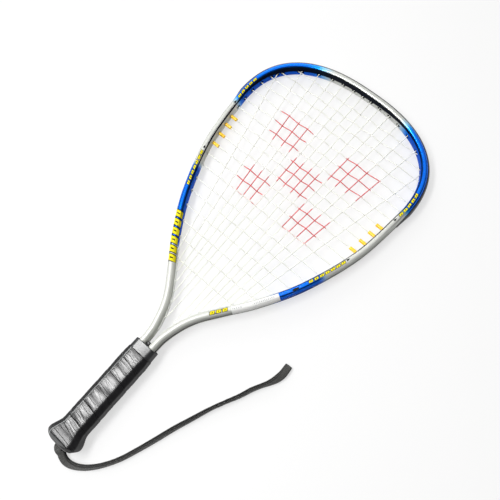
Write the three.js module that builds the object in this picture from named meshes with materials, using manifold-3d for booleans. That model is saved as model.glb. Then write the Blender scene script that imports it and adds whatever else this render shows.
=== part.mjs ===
// Racquetball racket: an open-throat aluminium hoop strung with nylon, whose two tube ends
// are clamped in a wrapped grip with a flared butt and a wrist tether.
// Millimetres. The racket is drawn with its butt at x = 0, its tip towards +X, its strings in
// the plane z = 0 and its left side towards +Y, and is then laid down on the plane z = 0.

import * as THREE from 'three';
import { mergeVertices } from 'three/addons/utils/BufferGeometryUtils.js';
import Module from 'manifold-3d';

const wasm = await Module();
wasm.setup();

// Driving sizes of the whole racket

const overall_length = 559;
const head_half_width = 127.5;      // centre of the tube at the widest place
const widest_share = 0.7569;        // place of the widest point along the hoop
const crown_power = 2.46;           // 2 would be an ellipse, more is squarer
const grip_length = 143.5;          // butt to the top of the grip
const seat_gap = 0.3;               // clearance between pieces that touch
const cut_overrun = 1;              // how far a cutter passes the wall it cuts

// A place "along the hoop" is a share of the way from the top of the grip to the tip.

// Frame tube

const tube_width = 9.5;             // across the tube, in the plane of the strings
const tube_depth = 20;              // along the string plane's normal
const tube_wall = 0.9;
const tube_bevel = 2.4;
const groove_width = 4.4;           // string groove along the outer side
const groove_depth = 2.2;
const pair_offset = 7.1;            // each tube's centre from the racket's axis, in the grip
const tube_end_at = 34;             // where the tubes end inside the grip

// The flank's centre line between the grip and the widest place, as shares of that run's
// length and of its spread.
const flank_shares = [
  [0, 0], [0.05, 0.006], [0.10, 0.035], [0.15, 0.080], [0.20, 0.150],
  [0.28, 0.301], [0.38, 0.491], [0.54, 0.725], [0.76, 0.922], [1, 1],
];

// Strings

const string_diameter = 1.3;
const string_sides = 5;
const string_bend = 0.7;            // length of a string's turn at a hole
const bed_low_share = 0.2371;       // lowest cross string, along the hoop
const bed_high_share = 0.9223;      // highest cross string, along the hoop
// Places of the cross strings between those two, from the throat to the tip.
const cross_shares = [
  0, 0.076, 0.138, 0.202, 0.265, 0.322, 0.385, 0.440, 0.493, 0.544,
  0.595, 0.640, 0.694, 0.746, 0.798, 0.853, 0.902, 0.948, 1,
];
// Distances of the main strings from the axis, at the lowest and at the highest cross
// string, as shares of the head's half width. Each stands for one string a side.
const main_low_shares = [0.045, 0.107, 0.164, 0.219, 0.274, 0.327, 0.386];
const main_high_shares = [0.049, 0.1545, 0.2745, 0.3945, 0.5357, 0.700, 0.917];
const edge_zone = 5;                // nearer to the frame than this, strings keep their lanes

// Pieces on the frame

const bumper_thickness = 1.6;
const bumper_height = 13;
const bumper_end_share = 0.7064;    // along the hoop
const bumper_taper = 26;
const bumper_tip_share = 0.4;       // section of the tapered end against the full one
const slot_length = 6;              // holes for the strings round the crown
const slot_height = 5.2;
const sleeve_radius = 2.1;
const sleeve_reach = 9.2;           // out of the frame's inner face
const sleeve_first = 8;             // lowest cross string with a sleeve, counted from 0
const sleeve_count = 4;
const eyelet_radius = 1.7;
const eyelet_reach = 1.6;
const bush_root = 2.6;              // how far sleeves and eyelets go into the tube
const bush_sides = 6;
const slot_sides = 8;
const strip_thickness = 1;
const strip_height = 5.6;
const strip_low_share = 0.0469;     // along the hoop
const strip_end_room = 5.6;         // between a strip's end and the lowest eyelet
const label_thickness = 0.4;
const label_low_share = 0.225;      // along the hoop
const label_high_share = 0.3381;    // along the hoop
const plug_length = 4;
const plug_height = 9;

// Grip

const pallet_half_width = 13.7;
const pallet_half_height = 12.3;
const pallet_bevel_y = 4.6;
const pallet_bevel_z = 4.8;
const pallet_top_half_width = 12.9;
const pallet_top_half_height = 11.3;
const pallet_top_bevel_y = 2.6;
const pallet_top_bevel_z = 3.0;
const pallet_taper = 24;
const skirt_at = 30;                // end of the butt cap's skirt
const skirt_wall = 0.6;
const cap_half_width = 18.1;        // at the flare's fullest place
const cap_half_height = 15.6;
const cap_full_at = 6;
const cap_flare = 18;
const cap_edge_round = 3.2;
const cap_end_wall = 4;
const tape_thickness = 1.3;
const tape_low_at = 2.2;
const tape_turns = 6;
const tape_seam = 0.6;              // gap between one turn and the next
const tape_edge_round = 0.5;
const tape_base = 0.6;              // clearance under the tape, more at its cut corners
const finish_length = 12;
const finish_thickness = 0.9;
const rivet_radius = 1.4;
const rivet_head_radius = 2.8;
const rivet_head_height = 1;
const rivet_shares = [0.362, 0.808]; // of the grip's length
const tack_radius = 0.7;
const tack_length = 3.4;
const tack_head_radius = 1.6;
const tack_head_height = 0.4;
const tack_at = 22;

// Tether

const strap_diameter = 6.4;         // both layers of the folded braid, as a round cord
const strap_sides = 8;
const strap_steps = 60;
const strap_slot_width = 10.2;
const strap_slot_height = 7.4;
const knot_radius = 6;
const knot_length = 11;

// Route of the doubled tether beside the racket as it lies, from the end of the butt at x = 0,
// with the surface it lies on at z = 0.
const tether_route = [
  [3.7, 0.0, 17.1],
  [-2.1, 0.0, 16.7],
  [-6.0, -1.8, 13.4],
  [-8.1, -6.0, 8.9],
  [-10.7, -9.6, 6.3],
  [-12.0, -14.4, 5.0],
  [-11.0, -21.1, 4.9],
  [-7.5, -28.7, 5.1],
  [-1.3, -37.2, 5.1],
  [7.0, -45.1, 5.1],
  [16.3, -51.9, 5.1],
  [30.7, -60.2, 5.1],
  [51.4, -68.7, 5.1],
  [72.9, -76.5, 5.1],
  [94.8, -84.0, 5.1],
  [116.1, -92.3, 5.1],
  [137.3, -100.6, 5.0],
  [155.1, -109.1, 5.0],
  [170.3, -116.8, 5.0],
  [184.4, -122.6, 5.0],
  [195.1, -128.3, 5.0],
  [202.8, -132.7, 5.0],
  [210.8, -136.0, 4.8],
  [219.4, -137.8, 4.3],
  [229.6, -137.3, 3.5],
];

// Sizes that follow

const alongHoop = (share) => grip_length + share * (overall_length - grip_length);
const widest_at = alongHoop(widest_share);
const bed_low_at = alongHoop(bed_low_share);
const bed_high_at = alongHoop(bed_high_share);
const rivet_places = rivet_shares.map((share) => share * grip_length);
const half_tube = tube_width / 2;
const half_depth = tube_depth / 2;
const tip_at = overall_length - bumper_thickness - seat_gap - half_tube;
const string_radius = string_diameter / 2;
const weave = string_diameter + seat_gap;
const lane = string_radius + seat_gap;
const run_offset = half_tube - groove_depth + string_radius + seat_gap;
const outlet_sides = 4;
const outlet = (string_radius + 1.5 * seat_gap) / Math.cos(Math.PI / outlet_sides);
const finish_at = grip_length - finish_length;
const tape_high_at = finish_at - seat_gap;

// Small helpers

const mix = (a, b, share) => a + (b - a) * share;

const smooth = (share) => THREE.MathUtils.smoothstep(share, 0, 1);

// Closed solid through a row of rings with equally many points each. The ends are capped,
// unless the row of rings closes on itself.
function loft(rings, closed = false) {
  const count = rings[0].length;
  const positions = rings.flat().flatMap((p) => [p.x, p.y, p.z]);
  const index = [];
  const last = closed ? rings.length : rings.length - 1;
  for (let i = 0; i < last; i += 1) {
    const here = i * count;
    const next = ((i + 1) % rings.length) * count;
    for (let k = 0; k < count; k += 1) {
      const side = (k + 1) % count;
      index.push(here + k, here + side, next + side);
      index.push(here + k, next + side, next + k);
    }
  }
  if (!closed) {
    index.push(...capOf(rings[0], 0, true));
    index.push(...capOf(rings.at(-1), (rings.length - 1) * count, false));
  }
  const geometry = new THREE.BufferGeometry();
  geometry.setAttribute('position', new THREE.Float32BufferAttribute(positions, 3));
  geometry.setIndex(index);
  return facingOut(geometry);
}

// Triangles of a flat end, which need not be convex.
function capOf(ring, first, flipped) {
  const origin = ring[0];
  const normal = new THREE.Vector3();
  ring.forEach((p, k) => {
    const a = p.clone().sub(origin);
    const b = ring[(k + 1) % ring.length].clone().sub(origin);
    normal.add(a.cross(b));
  });
  normal.normalize();
  const along = ring[1].clone().sub(origin).normalize();
  const across = normal.clone().cross(along);
  const flat = ring.map((p) => {
    const d = p.clone().sub(origin);
    return new THREE.Vector2(d.dot(along), d.dot(across));
  });
  const faces = THREE.ShapeUtils.triangulateShape(flat, []);
  return faces.flatMap(([a, b, c]) => (flipped ? [a, c, b] : [a, b, c]).map((k) => k + first));
}

// Turns the faces round where they enclose a negative volume.
function facingOut(geometry) {
  const p = geometry.getAttribute('position');
  const index = geometry.getIndex().array;
  let volume = 0;
  const at = (i) => new THREE.Vector3().fromBufferAttribute(p, index[i]);
  for (let i = 0; i < index.length; i += 3) {
    volume += at(i).dot(at(i + 1).cross(at(i + 2)));
  }
  if (volume < 0) {
    for (let i = 0; i < index.length; i += 3) {
      [index[i + 1], index[i + 2]] = [index[i + 2], index[i + 1]];
    }
  }
  return geometry;
}

function toSolid(geometry) {
  const bare = geometry.clone();
  bare.deleteAttribute('normal');
  bare.deleteAttribute('uv');
  const merged = mergeVertices(bare, 1e-4);
  return new wasm.Manifold(new wasm.Mesh({
    numProp: 3,
    vertProperties: new Float32Array(merged.getAttribute('position').array),
    triVerts: new Uint32Array(merged.getIndex().array),
  }));
}

function toGeometry(solid) {
  const mesh = solid.getMesh();
  const geometry = new THREE.BufferGeometry();
  const positions = new Float32Array(mesh.triVerts.length * 3);
  mesh.triVerts.forEach((v, k) => {
    for (let axis = 0; axis < 3; axis += 1) {
      positions[3 * k + axis] = mesh.vertProperties[v * mesh.numProp + axis];
    }
  });
  geometry.setAttribute('position', new THREE.Float32BufferAttribute(positions, 3));
  return mergeVertices(geometry, 1e-4);
}

// Path through a row of points, one point to each step.
class Route extends THREE.Curve {
  constructor(points) {
    super();
    this.points = points;
  }

  getPointAt(share) {
    return this.points[Math.round(share * (this.points.length - 1))].clone();
  }

  getTangentAt(share) {
    const i = Math.round(share * (this.points.length - 1));
    const before = this.points[Math.max(i - 1, 0)];
    const after = this.points[Math.min(i + 1, this.points.length - 1)];
    return after.clone().sub(before).normalize();
  }
}

// Tube along a curve.
function tube(path, steps, sides, radius) {
  const turn = (k) => (2 * Math.PI * k) / sides;
  const section = new THREE.Shape(Array.from({ length: sides }, (_, k) => new THREE.Vector2(
    radius * Math.cos(turn(k)),
    radius * Math.sin(turn(k)),
  )));
  return new THREE.ExtrudeGeometry(section, { steps, bevelEnabled: false, extrudePath: path });
}

// Round bar from one point to another, as a solid for joining and cutting.
function bar(from, to, radius, sides, end_radius = radius) {
  const length = from.distanceTo(to);
  const geometry = new THREE.CylinderGeometry(end_radius, radius, length, sides);
  const up = new THREE.Vector3(0, 1, 0);
  const along = to.clone().sub(from).normalize();
  geometry.applyQuaternion(new THREE.Quaternion().setFromUnitVectors(up, along));
  const middle = from.clone().add(to).multiplyScalar(0.5);
  geometry.translate(middle.x, middle.y, middle.z);
  return toSolid(geometry);
}

// Centre line of the frame

const flank_run = widest_at - grip_length;
const flank_spread = head_half_width - pair_offset;
const flank = new THREE.SplineCurve(flank_shares.map(([run, spread]) => new THREE.Vector2(
  grip_length + run * flank_run,
  pair_offset + spread * flank_spread,
)));

function crownPoint(turn) {
  const power = 2 / crown_power;
  return new THREE.Vector2(
    widest_at + (tip_at - widest_at) * Math.sin(turn) ** power,
    head_half_width * Math.cos(turn) ** power,
  );
}

// Left half from the tube's end to the tip, with the given numbers of steps.
function halfLine(low_steps, high_steps) {
  const points = [new THREE.Vector2(tube_end_at, pair_offset)];
  for (let i = 0; i <= low_steps; i += 1) {
    points.push(flank.getPoint(i / low_steps));
  }
  for (let i = 1; i <= high_steps; i += 1) {
    points.push(crownPoint((Math.PI / 2) * (i / high_steps)));
  }
  return points;
}

function wholeLine(low_steps, high_steps) {
  const left = halfLine(low_steps, high_steps);
  const right = left.slice(0, -1).reverse().map((p) => new THREE.Vector2(p.x, -p.y));
  return [...left, ...right];
}

// Place, direction and outward normal at each point of a line that runs up the left side.
function stationsOf(points) {
  return points.map((p, i) => {
    const before = points[Math.max(i - 1, 0)];
    const after = points[Math.min(i + 1, points.length - 1)];
    const t = after.clone().sub(before).normalize();
    return { p, t, n: new THREE.Vector2(-t.y, t.x) };
  });
}

const flank_steps = 16;
const crown_steps = 13;
const line = stationsOf(wholeLine(flank_steps, crown_steps));
line.forEach((station, i) => {
  station.d = i === 0 ? 0 : line[i - 1].d + station.p.distanceTo(line[i - 1].p);
});
const line_length = line.at(-1).d;

// Place on the centre line at a distance along it. Its normal is drawn between those of the
// stations, so that a piece set off from the line follows the tube's facets.
function at(distance) {
  const d = THREE.MathUtils.clamp(distance, 0, line_length);
  const i = Math.max(line.findIndex((station) => station.d >= d), 1);
  const a = line[i - 1];
  const b = line[i];
  const share = (d - a.d) / (b.d - a.d);
  return {
    p: a.p.clone().lerp(b.p, share),
    t: b.p.clone().sub(a.p).normalize(),
    n: a.n.clone().lerp(b.n, share),
    d,
  };
}

// Stations between two distances, with both ends.
function between(from, to) {
  return [at(from), ...line.filter(({ d }) => d > from && d < to), at(to)];
}

// Where a string line through a point, going in a direction, crosses the frame's line or one
// that runs beside it.
function meet(origin, direction, beside) {
  const from = line.map(({ p, n }) => p.clone().addScaledVector(n, beside).sub(origin));
  let nearest = Infinity;
  let found = -1;
  for (let i = 1; i < from.length; i += 1) {
    const a = direction.cross(from[i - 1]);
    const b = direction.cross(from[i]);
    const ahead = from[i].dot(direction);
    if (ahead > 0 && ahead < nearest && a * b <= 0 && a !== b) {
      nearest = ahead;
      found = mix(line[i - 1].d, line[i].d, a / (a - b));
    }
  }
  if (found < 0) {
    throw new Error('a string misses the frame');
  }
  return found;
}

// Distance along the centre line of a place on one side at a given x.
function sideAt(x, left) {
  const i = Math.max(line.findIndex(({ p }) => p.x >= x), 1);
  const share = (x - line[i - 1].p.x) / (line[i].p.x - line[i - 1].p.x);
  const distance = mix(line[i - 1].d, line[i].d, share);
  return left ? distance : line_length - distance;
}

function distanceToLine(point) {
  return Math.min(...line.slice(1).map((station, i) => {
    const stretch = new THREE.Line3(
      new THREE.Vector3(line[i].p.x, line[i].p.y, 0),
      new THREE.Vector3(station.p.x, station.p.y, 0),
    );
    const spot = new THREE.Vector3(point.x, point.y, 0);
    return stretch.closestPointToPoint(spot, true, new THREE.Vector3()).distanceTo(spot);
  }));
}

const space = (station, out, z) => new THREE.Vector3(
  station.p.x + station.n.x * out,
  station.p.y + station.n.y * out,
  z,
);

// Sweep of a section, given as [out, z] pairs, along stations.
function sweep(stations, sectionOf) {
  return loft(stations.map((station, i) => (
    sectionOf(i, station).map(([out, z]) => space(station, out, z))
  )));
}

// Frame tube

function tubeSection() {
  const w = half_tube;
  const h = half_depth;
  const b = tube_bevel;
  const g = groove_width / 2;
  return [
    [-w, -h + b], [-w + b, -h], [w - b, -h], [w, -h + b],
    [w, -g], [w - groove_depth, -g], [w - groove_depth, g], [w, g],
    [w, h - b], [w - b, h], [-w + b, h], [-w, h - b],
  ];
}

function boreSection() {
  const inner = -half_tube + tube_wall;
  const outer = half_tube - groove_depth - tube_wall;
  const h = half_depth - tube_wall;
  const b = tube_bevel - tube_wall / 2;
  return [
    [inner, -h + b], [inner + b, -h], [outer - b, -h], [outer, -h + b],
    [outer, h - b], [outer - b, h], [inner + b, h], [inner, h - b],
  ];
}

// Strings. Each end of a string is a passage through the frame: a point on the string's
// line outside the inner face, the way through the tube, and a place in the outer groove.

const passages = [];

// A passage straight along the string.
function straightPassage(origin, direction, kind, height) {
  const crossing = at(meet(origin, direction, 0));
  const slant = direction.dot(crossing.t) / direction.dot(crossing.n);
  const outer = at(crossing.d + slant * run_offset);
  const inner = at(crossing.d - slant * half_tube);
  const wall_point = crossing.p.clone()
    .addScaledVector(direction, -half_tube / direction.dot(crossing.n));
  const passage = { kind, height, direction, crossing, inner, outer, wall_point, turned: false };
  passages.push(passage);
  return passage;
}

// A passage drilled square through the tube, where the string comes in at a slant.
function squarePassage(origin, direction, kind, height) {
  const reach = half_tube + seat_gap + strip_thickness + 2 * string_radius;
  const station = at(meet(origin, direction, -reach));
  const mouth = station.p.clone().addScaledVector(station.n, -reach);
  const passage = {
    kind, height, direction: station.n.clone(), crossing: station, inner: station,
    outer: station, wall_point: mouth, turned: true,
  };
  passages.push(passage);
  return passage;
}

const bed_length = bed_high_at - bed_low_at;
const cross_places = cross_shares.map((share) => bed_low_at + share * bed_length);

const main_lines = [-1, 1].flatMap((side) => main_low_shares.map((low, i) => {
  const a = new THREE.Vector2(bed_low_at, -side * low * head_half_width);
  const b = new THREE.Vector2(bed_high_at, -side * main_high_shares[i] * head_half_width);
  return { a, way: b.clone().sub(a).normalize(), order: -side * (i + 1) };
})).sort((p, q) => q.order - p.order);

const mainAt = (main, x) => main.a.clone().addScaledVector(main.way, (x - main.a.x) / main.way.x);

// One polyline of a string, with rounded turns at the passages.
class StringPath {
  constructor() {
    this.points = [];
  }

  add(point) {
    this.points.push(point);
  }

  turn(corner, from, to) {
    this.points.push(corner.clone().addScaledVector(from, -string_bend));
    this.points.push(corner.clone().addScaledVector(to, string_bend));
  }

  // From the net out to the groove, or with the sense turned round, back in.
  static legOf(passage, along) {
    const way = new THREE.Vector3(passage.direction.x, passage.direction.y, 0);
    const corner = space(passage.outer, run_offset, passage.height);
    const run = new THREE.Vector3(passage.outer.t.x, passage.outer.t.y, 0).multiplyScalar(along);
    return { way, corner, run };
  }

  leave(passage, approach, along) {
    const { way, corner, run } = StringPath.legOf(passage, along);
    this.enter(passage, approach, way);
    this.turn(corner, way, run);
  }

  enter(passage, approach, way) {
    if (passage.turned) {
      this.turn(mouthOf(passage), approach, way);
    } else {
      this.add(mouthOf(passage));
    }
  }

  comeBack(passage, along, departure) {
    const { way, corner, run } = StringPath.legOf(passage, along);
    this.turn(corner, run, way.clone().negate());
    this.enter(passage, way.clone().negate(), departure);
  }

  // Along the groove between two passages, over the frame's stations.
  run(from, to) {
    const start = from.outer.d;
    const end = to.outer.d;
    const clear = 2 * string_bend;
    const low = Math.min(start, end) + clear;
    const high = Math.max(start, end) - clear;
    const over = line.filter(({ d }) => d > low && d < high);
    (start < end ? over : over.reverse()).forEach((station) => {
      this.add(space(station, run_offset, from.height));
    });
  }

  // A loose end of a few diameters in the groove.
  tail(passage, along) {
    const end = at(passage.outer.d + along * 4 * string_diameter);
    return space(end, run_offset, passage.height);
  }

  solid() {
    return tube(new Route(this.points), this.points.length - 1, string_sides, string_radius);
  }
}

// Place where a string passes the mouth of its bush, or the wall where there is none.
function mouthOf({ kind, direction, wall_point, height }) {
  const reach = { sleeve: sleeve_reach, eyelet: eyelet_reach, slot: 0, strip: 0 }[kind];
  const clear = reach > 0 ? reach + 2 * seat_gap : 0;
  const p = wall_point.clone().addScaledVector(direction, -clear);
  return new THREE.Vector3(p.x, p.y, height);
}

// Crossings of the two sets of strings, from the throat up for a main string.
function crossingsOfMain(main, row) {
  return cross_places.map((x, level) => {
    const p = mainAt(main, x);
    return { p, row, level, room: distanceToLine(p) - half_tube, inside: insideHead(p) };
  }).filter((crossing) => crossing.inside && crossing.room > string_diameter);
}

// Between the two flanks, and short of the tip.
function insideHead(p) {
  const station = at(sideDistance(p.x));
  return Math.abs(p.y) < station.p.y;
}

function sideDistance(x) {
  return sideAt(Math.min(x, tip_at - seat_gap), true);
}

const crossings = main_lines.map((main, row) => crossingsOfMain(main, row));

function mainString() {
  const path = new StringPath();
  main_lines.forEach((main, row) => {
    const upward = row % 2 === 0;
    const middle = mainAt(main, mix(bed_low_at, bed_high_at, 0.5));
    const down = main.way.clone().negate();
    const outermost = row === 0 || row === main_lines.length - 1;
    const low = outermost
      ? straightPassage(middle, down, 'eyelet', lane)
      : squarePassage(middle, down, 'strip', lane);
    const high = straightPassage(middle, main.way, 'slot', lane);
    main.low = low;
    main.high = high;
    main.upward = upward;
  });
  main_lines.forEach((main, row) => {
    const { low, high, upward } = main;
    const up = new THREE.Vector3(main.way.x, main.way.y, 0);
    const start = upward ? low : high;
    const end = upward ? high : low;
    const ahead = upward ? up : up.clone().negate();
    if (row === 0) {
      path.add(path.tail(start, -1));
    }
    path.comeBack(start, 1, ahead);
    const list = upward ? crossings[row] : [...crossings[row]].reverse();
    const free = list.filter((c) => c.room > edge_zone);
    list.filter((c) => c.room <= edge_zone || c === free[0] || c === free.at(-1))
      .forEach((c) => path.add(new THREE.Vector3(c.p.x, c.p.y, c.room > edge_zone ? 0 : lane)));
    path.leave(end, ahead, 1);
    if (row < main_lines.length - 1) {
      const next = main_lines[row + 1];
      path.run(end, upward ? next.high : next.low);
    } else {
      path.add(path.tail(end, 1));
    }
  });
  return path.solid();
}

function crossString() {
  const path = new StringPath();
  const rows = cross_places.map((x, level) => {
    const centre = new THREE.Vector2(x, 0);
    const sleeved = level >= sleeve_first && level < sleeve_first + sleeve_count;
    let kind = 'eyelet';
    if (sleeved) {
      kind = 'sleeve';
    } else if (level >= sleeve_first + sleeve_count) {
      kind = 'slot';
    }
    return {
      level,
      left: straightPassage(centre, new THREE.Vector2(0, 1), kind, -lane),
      right: straightPassage(centre, new THREE.Vector2(0, -1), kind, -lane),
    };
  });
  rows.forEach((row, i) => {
    const rightward = i % 2 === 0;
    const start = rightward ? row.left : row.right;
    const end = rightward ? row.right : row.left;
    const ahead = new THREE.Vector3(0, rightward ? -1 : 1, 0);
    // Up the left side the line runs towards the tip, down the right side away from it.
    const climb = rightward ? 1 : -1;
    if (i === 0) {
      path.add(path.tail(start, -1));
    }
    path.comeBack(start, climb, ahead);
    const list = crossings.flat().filter((c) => c.level === row.level)
      .sort((p, q) => (rightward ? q.p.y - p.p.y : p.p.y - q.p.y));
    list.forEach((c) => {
      const over = (c.row + c.level) % 2 === 0 ? weave : -weave;
      path.add(new THREE.Vector3(c.p.x, c.p.y, c.room > edge_zone ? over : -lane));
    });
    path.leave(end, ahead, -climb);
    if (i < rows.length - 1) {
      path.run(end, rightward ? rows[i + 1].right : rows[i + 1].left);
    } else {
      path.add(path.tail(end, -climb));
    }
  });
  return { geometry: path.solid(), rows };
}

// Sleeve or eyelet round a string where it enters the frame.
function bushOf(passage, radius, reach) {
  const way = new THREE.Vector3(passage.direction.x, passage.direction.y, 0);
  const wall = new THREE.Vector3(passage.wall_point.x, passage.wall_point.y, passage.height);
  const root = wall.clone().addScaledVector(way, bush_root);
  const mouth = wall.clone().addScaledVector(way, -reach);
  const bore = string_radius + seat_gap;
  const skin = bar(mouth, root, radius, bush_sides);
  const hole = bar(
    mouth.clone().addScaledVector(way, -cut_overrun),
    root.clone().addScaledVector(way, cut_overrun),
    bore / Math.cos(Math.PI / bush_sides),
    bush_sides,
  );
  return toGeometry(skin.subtract(hole));
}

// Cutters that open the frame for one passage.
function cuttersOf(passage) {
  const { direction, crossing, inner, height } = passage;
  const way = new THREE.Vector3(direction.x, direction.y, 0);
  const centre = new THREE.Vector3(crossing.p.x, crossing.p.y, height);
  const through = (half_tube + cut_overrun + sleeve_radius) / direction.dot(crossing.n);
  const cutters = [
    bar(centre, centre.clone().addScaledVector(way, through), outlet, outlet_sides),
  ];
  if (passage.kind === 'slot') {
    const geometry = new THREE.CylinderGeometry(1, 1, half_tube + cut_overrun, slot_sides);
    geometry.scale(slot_length / 2, 1, slot_height / 2);
    geometry.applyMatrix4(new THREE.Matrix4().makeBasis(
      new THREE.Vector3(inner.t.x, inner.t.y, 0),
      new THREE.Vector3(inner.n.x, inner.n.y, 0),
      new THREE.Vector3(0, 0, 1),
    ));
    const middle = space(inner, -(half_tube + cut_overrun) / 2, 0);
    geometry.translate(middle.x, middle.y, middle.z);
    cutters.push(toSolid(facingOut(geometry)));
  } else {
    const radii = { sleeve: sleeve_radius, eyelet: eyelet_radius, strip: string_radius };
    const radius = (radii[passage.kind] + seat_gap) / Math.cos(Math.PI / bush_sides);
    cutters.push(bar(centre.clone().addScaledVector(way, -through), centre, radius, bush_sides));
  }
  return cutters;
}

function frameTube() {
  const first = line[0];
  const tail = { ...first, p: first.p.clone().addScaledVector(first.t, -cut_overrun) };
  const end = line.at(-1);
  const head = { ...end, p: end.p.clone().addScaledVector(end.t, cut_overrun) };
  const skin = toSolid(sweep(line, () => tubeSection()));
  const bore = toSolid(sweep([tail, ...line, head], () => boreSection()));
  let solid = skin.subtract(bore);
  const cutters = passages.flatMap((passage) => cuttersOf(passage));
  solid = solid.subtract(wasm.Manifold.union(cutters));
  return toGeometry(solid);
}

// Guard round the crown, thinner and lower towards its ends.
function bumperGuard() {
  const from = sideAt(alongHoop(bumper_end_share), true);
  const to = line_length - from;
  return sweep(between(from, to), (i, station) => {
    const near = Math.min(station.d - from, to - station.d);
    const share = mix(bumper_tip_share, 1, smooth(near / bumper_taper));
    const h = (bumper_height / 2) * share;
    const inner = half_tube + seat_gap;
    const outer = inner + bumper_thickness * share;
    const bevel = (bumper_thickness * share) / 2;
    return [
      [inner, -h], [outer - bevel, -h], [outer, -h + bevel],
      [outer, h - bevel], [outer - bevel, h], [inner, h],
    ];
  });
}

// Nylon strip under the main strings' holes on one throat tube, short of the lowest eyelet.
function throatStrip(left) {
  const from = sideAt(alongHoop(strip_low_share), left);
  const eyelets = passages
    .filter((passage) => passage.kind === 'eyelet' && (passage.crossing.p.y > 0) === left)
    .map(({ inner }) => inner.d);
  const to = left ? Math.min(...eyelets) - strip_end_room : Math.max(...eyelets) + strip_end_room;
  const stations = between(Math.min(from, to), Math.max(from, to));
  const h = strip_height / 2;
  const seat = -half_tube - seat_gap;
  const bevel = strip_thickness / 2;
  const strip = toSolid(sweep(stations, () => [
    [seat, -h], [seat, h], [seat - bevel, h], [seat - strip_thickness, h - bevel],
    [seat - strip_thickness, -h + bevel], [seat - bevel, -h],
  ]));
  const holes = passages
    .filter((passage) => passage.kind === 'strip' && (passage.crossing.p.y > 0) === left)
    .map(({ crossing, height }) => bar(
      space(crossing, seat - strip_thickness - cut_overrun, height),
      space(crossing, seat + cut_overrun, height),
      (string_radius + seat_gap) / Math.cos(Math.PI / bush_sides),
      bush_sides,
    ));
  return toGeometry(strip.subtract(wasm.Manifold.union(holes)));
}

// Blank paper label round the face and the outer side of the right tube.
function priceLabel() {
  const from = sideAt(alongHoop(label_high_share), false);
  const to = sideAt(alongHoop(label_low_share), false);
  const low = groove_width / 2 + seat_gap;
  const wrapped = (gap) => {
    const corner = gap * Math.tan(Math.PI / 8);
    const w = half_tube;
    const h = half_depth;
    return [
      [-w + tube_bevel, h + gap], [w - tube_bevel + corner, h + gap],
      [w + gap, h - tube_bevel + corner], [w + gap, low],
    ];
  };
  return sweep(between(from, to), () => [
    ...wrapped(seat_gap), ...wrapped(seat_gap + label_thickness).reverse(),
  ]);
}

// Grip. Its sections are eight-sided: half width, half height and the two bevels.

function eightSided({ a, b, cy, cz }, grow = 0) {
  const w = a + grow;
  const h = b + grow;
  const slope = Math.atan2(cz, cy);
  const y = cy - grow * Math.tan(slope / 2) + grow;
  const z = cz - grow * Math.tan((Math.PI / 2 - slope) / 2) + grow;
  return [
    [w, -h + z], [w, h - z], [w - y, h], [-w + y, h],
    [-w, h - z], [-w, -h + z], [-w + y, -h], [w - y, -h],
  ];
}

function blend(low, high, share) {
  return {
    a: mix(low.a, high.a, share),
    b: mix(low.b, high.b, share),
    cy: mix(low.cy, high.cy, share),
    cz: mix(low.cz, high.cz, share),
  };
}

const pallet_full = {
  a: pallet_half_width, b: pallet_half_height, cy: pallet_bevel_y, cz: pallet_bevel_z,
};
const pallet_top = {
  a: pallet_top_half_width, b: pallet_top_half_height, cy: pallet_top_bevel_y, cz: pallet_top_bevel_z,
};
const cap_full = {
  a: cap_half_width, b: cap_half_height, cy: pallet_bevel_y, cz: pallet_bevel_z,
};
const tucked = skirt_wall + seat_gap;
const pallet_tucked = {
  a: pallet_full.a - tucked, b: pallet_full.b - tucked, cy: pallet_bevel_y, cz: pallet_bevel_z,
};

// Core of the grip under the tape: the cap's flare, then the pallets with their tapered top.
function coreAt(x) {
  if (x < cap_full_at) {
    const depth = THREE.MathUtils.clamp((cap_full_at - x) / cap_full_at, 0, 1);
    const drawn = cap_edge_round * (1 - Math.sqrt(1 - depth ** 2));
    return { ...cap_full, a: cap_full.a - drawn, b: cap_full.b - drawn };
  }
  if (x < cap_full_at + cap_flare) {
    return blend(cap_full, pallet_full, smooth((x - cap_full_at) / cap_flare));
  }
  const taper = smooth((x - grip_length + pallet_taper) / pallet_taper);
  return blend(pallet_full, pallet_top, taper);
}

const ringAt = (x, outline) => outline.map(([y, z]) => new THREE.Vector3(x, y, z));

const prism = (stations) => toSolid(loft(stations.map(([x, outline]) => ringAt(x, outline))));

// Cutter or plate between two x values with a half width and a half height.
function block(x1, x2, y1, y2, z1, z2) {
  const geometry = new THREE.BoxGeometry(x2 - x1, y2 - y1, z2 - z1);
  geometry.translate((x1 + x2) / 2, (y1 + y2) / 2, (z1 + z2) / 2);
  return toSolid(geometry);
}

const pallet_low_at = 2 * cap_end_wall;
const step_at = skirt_at + seat_gap;

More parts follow.
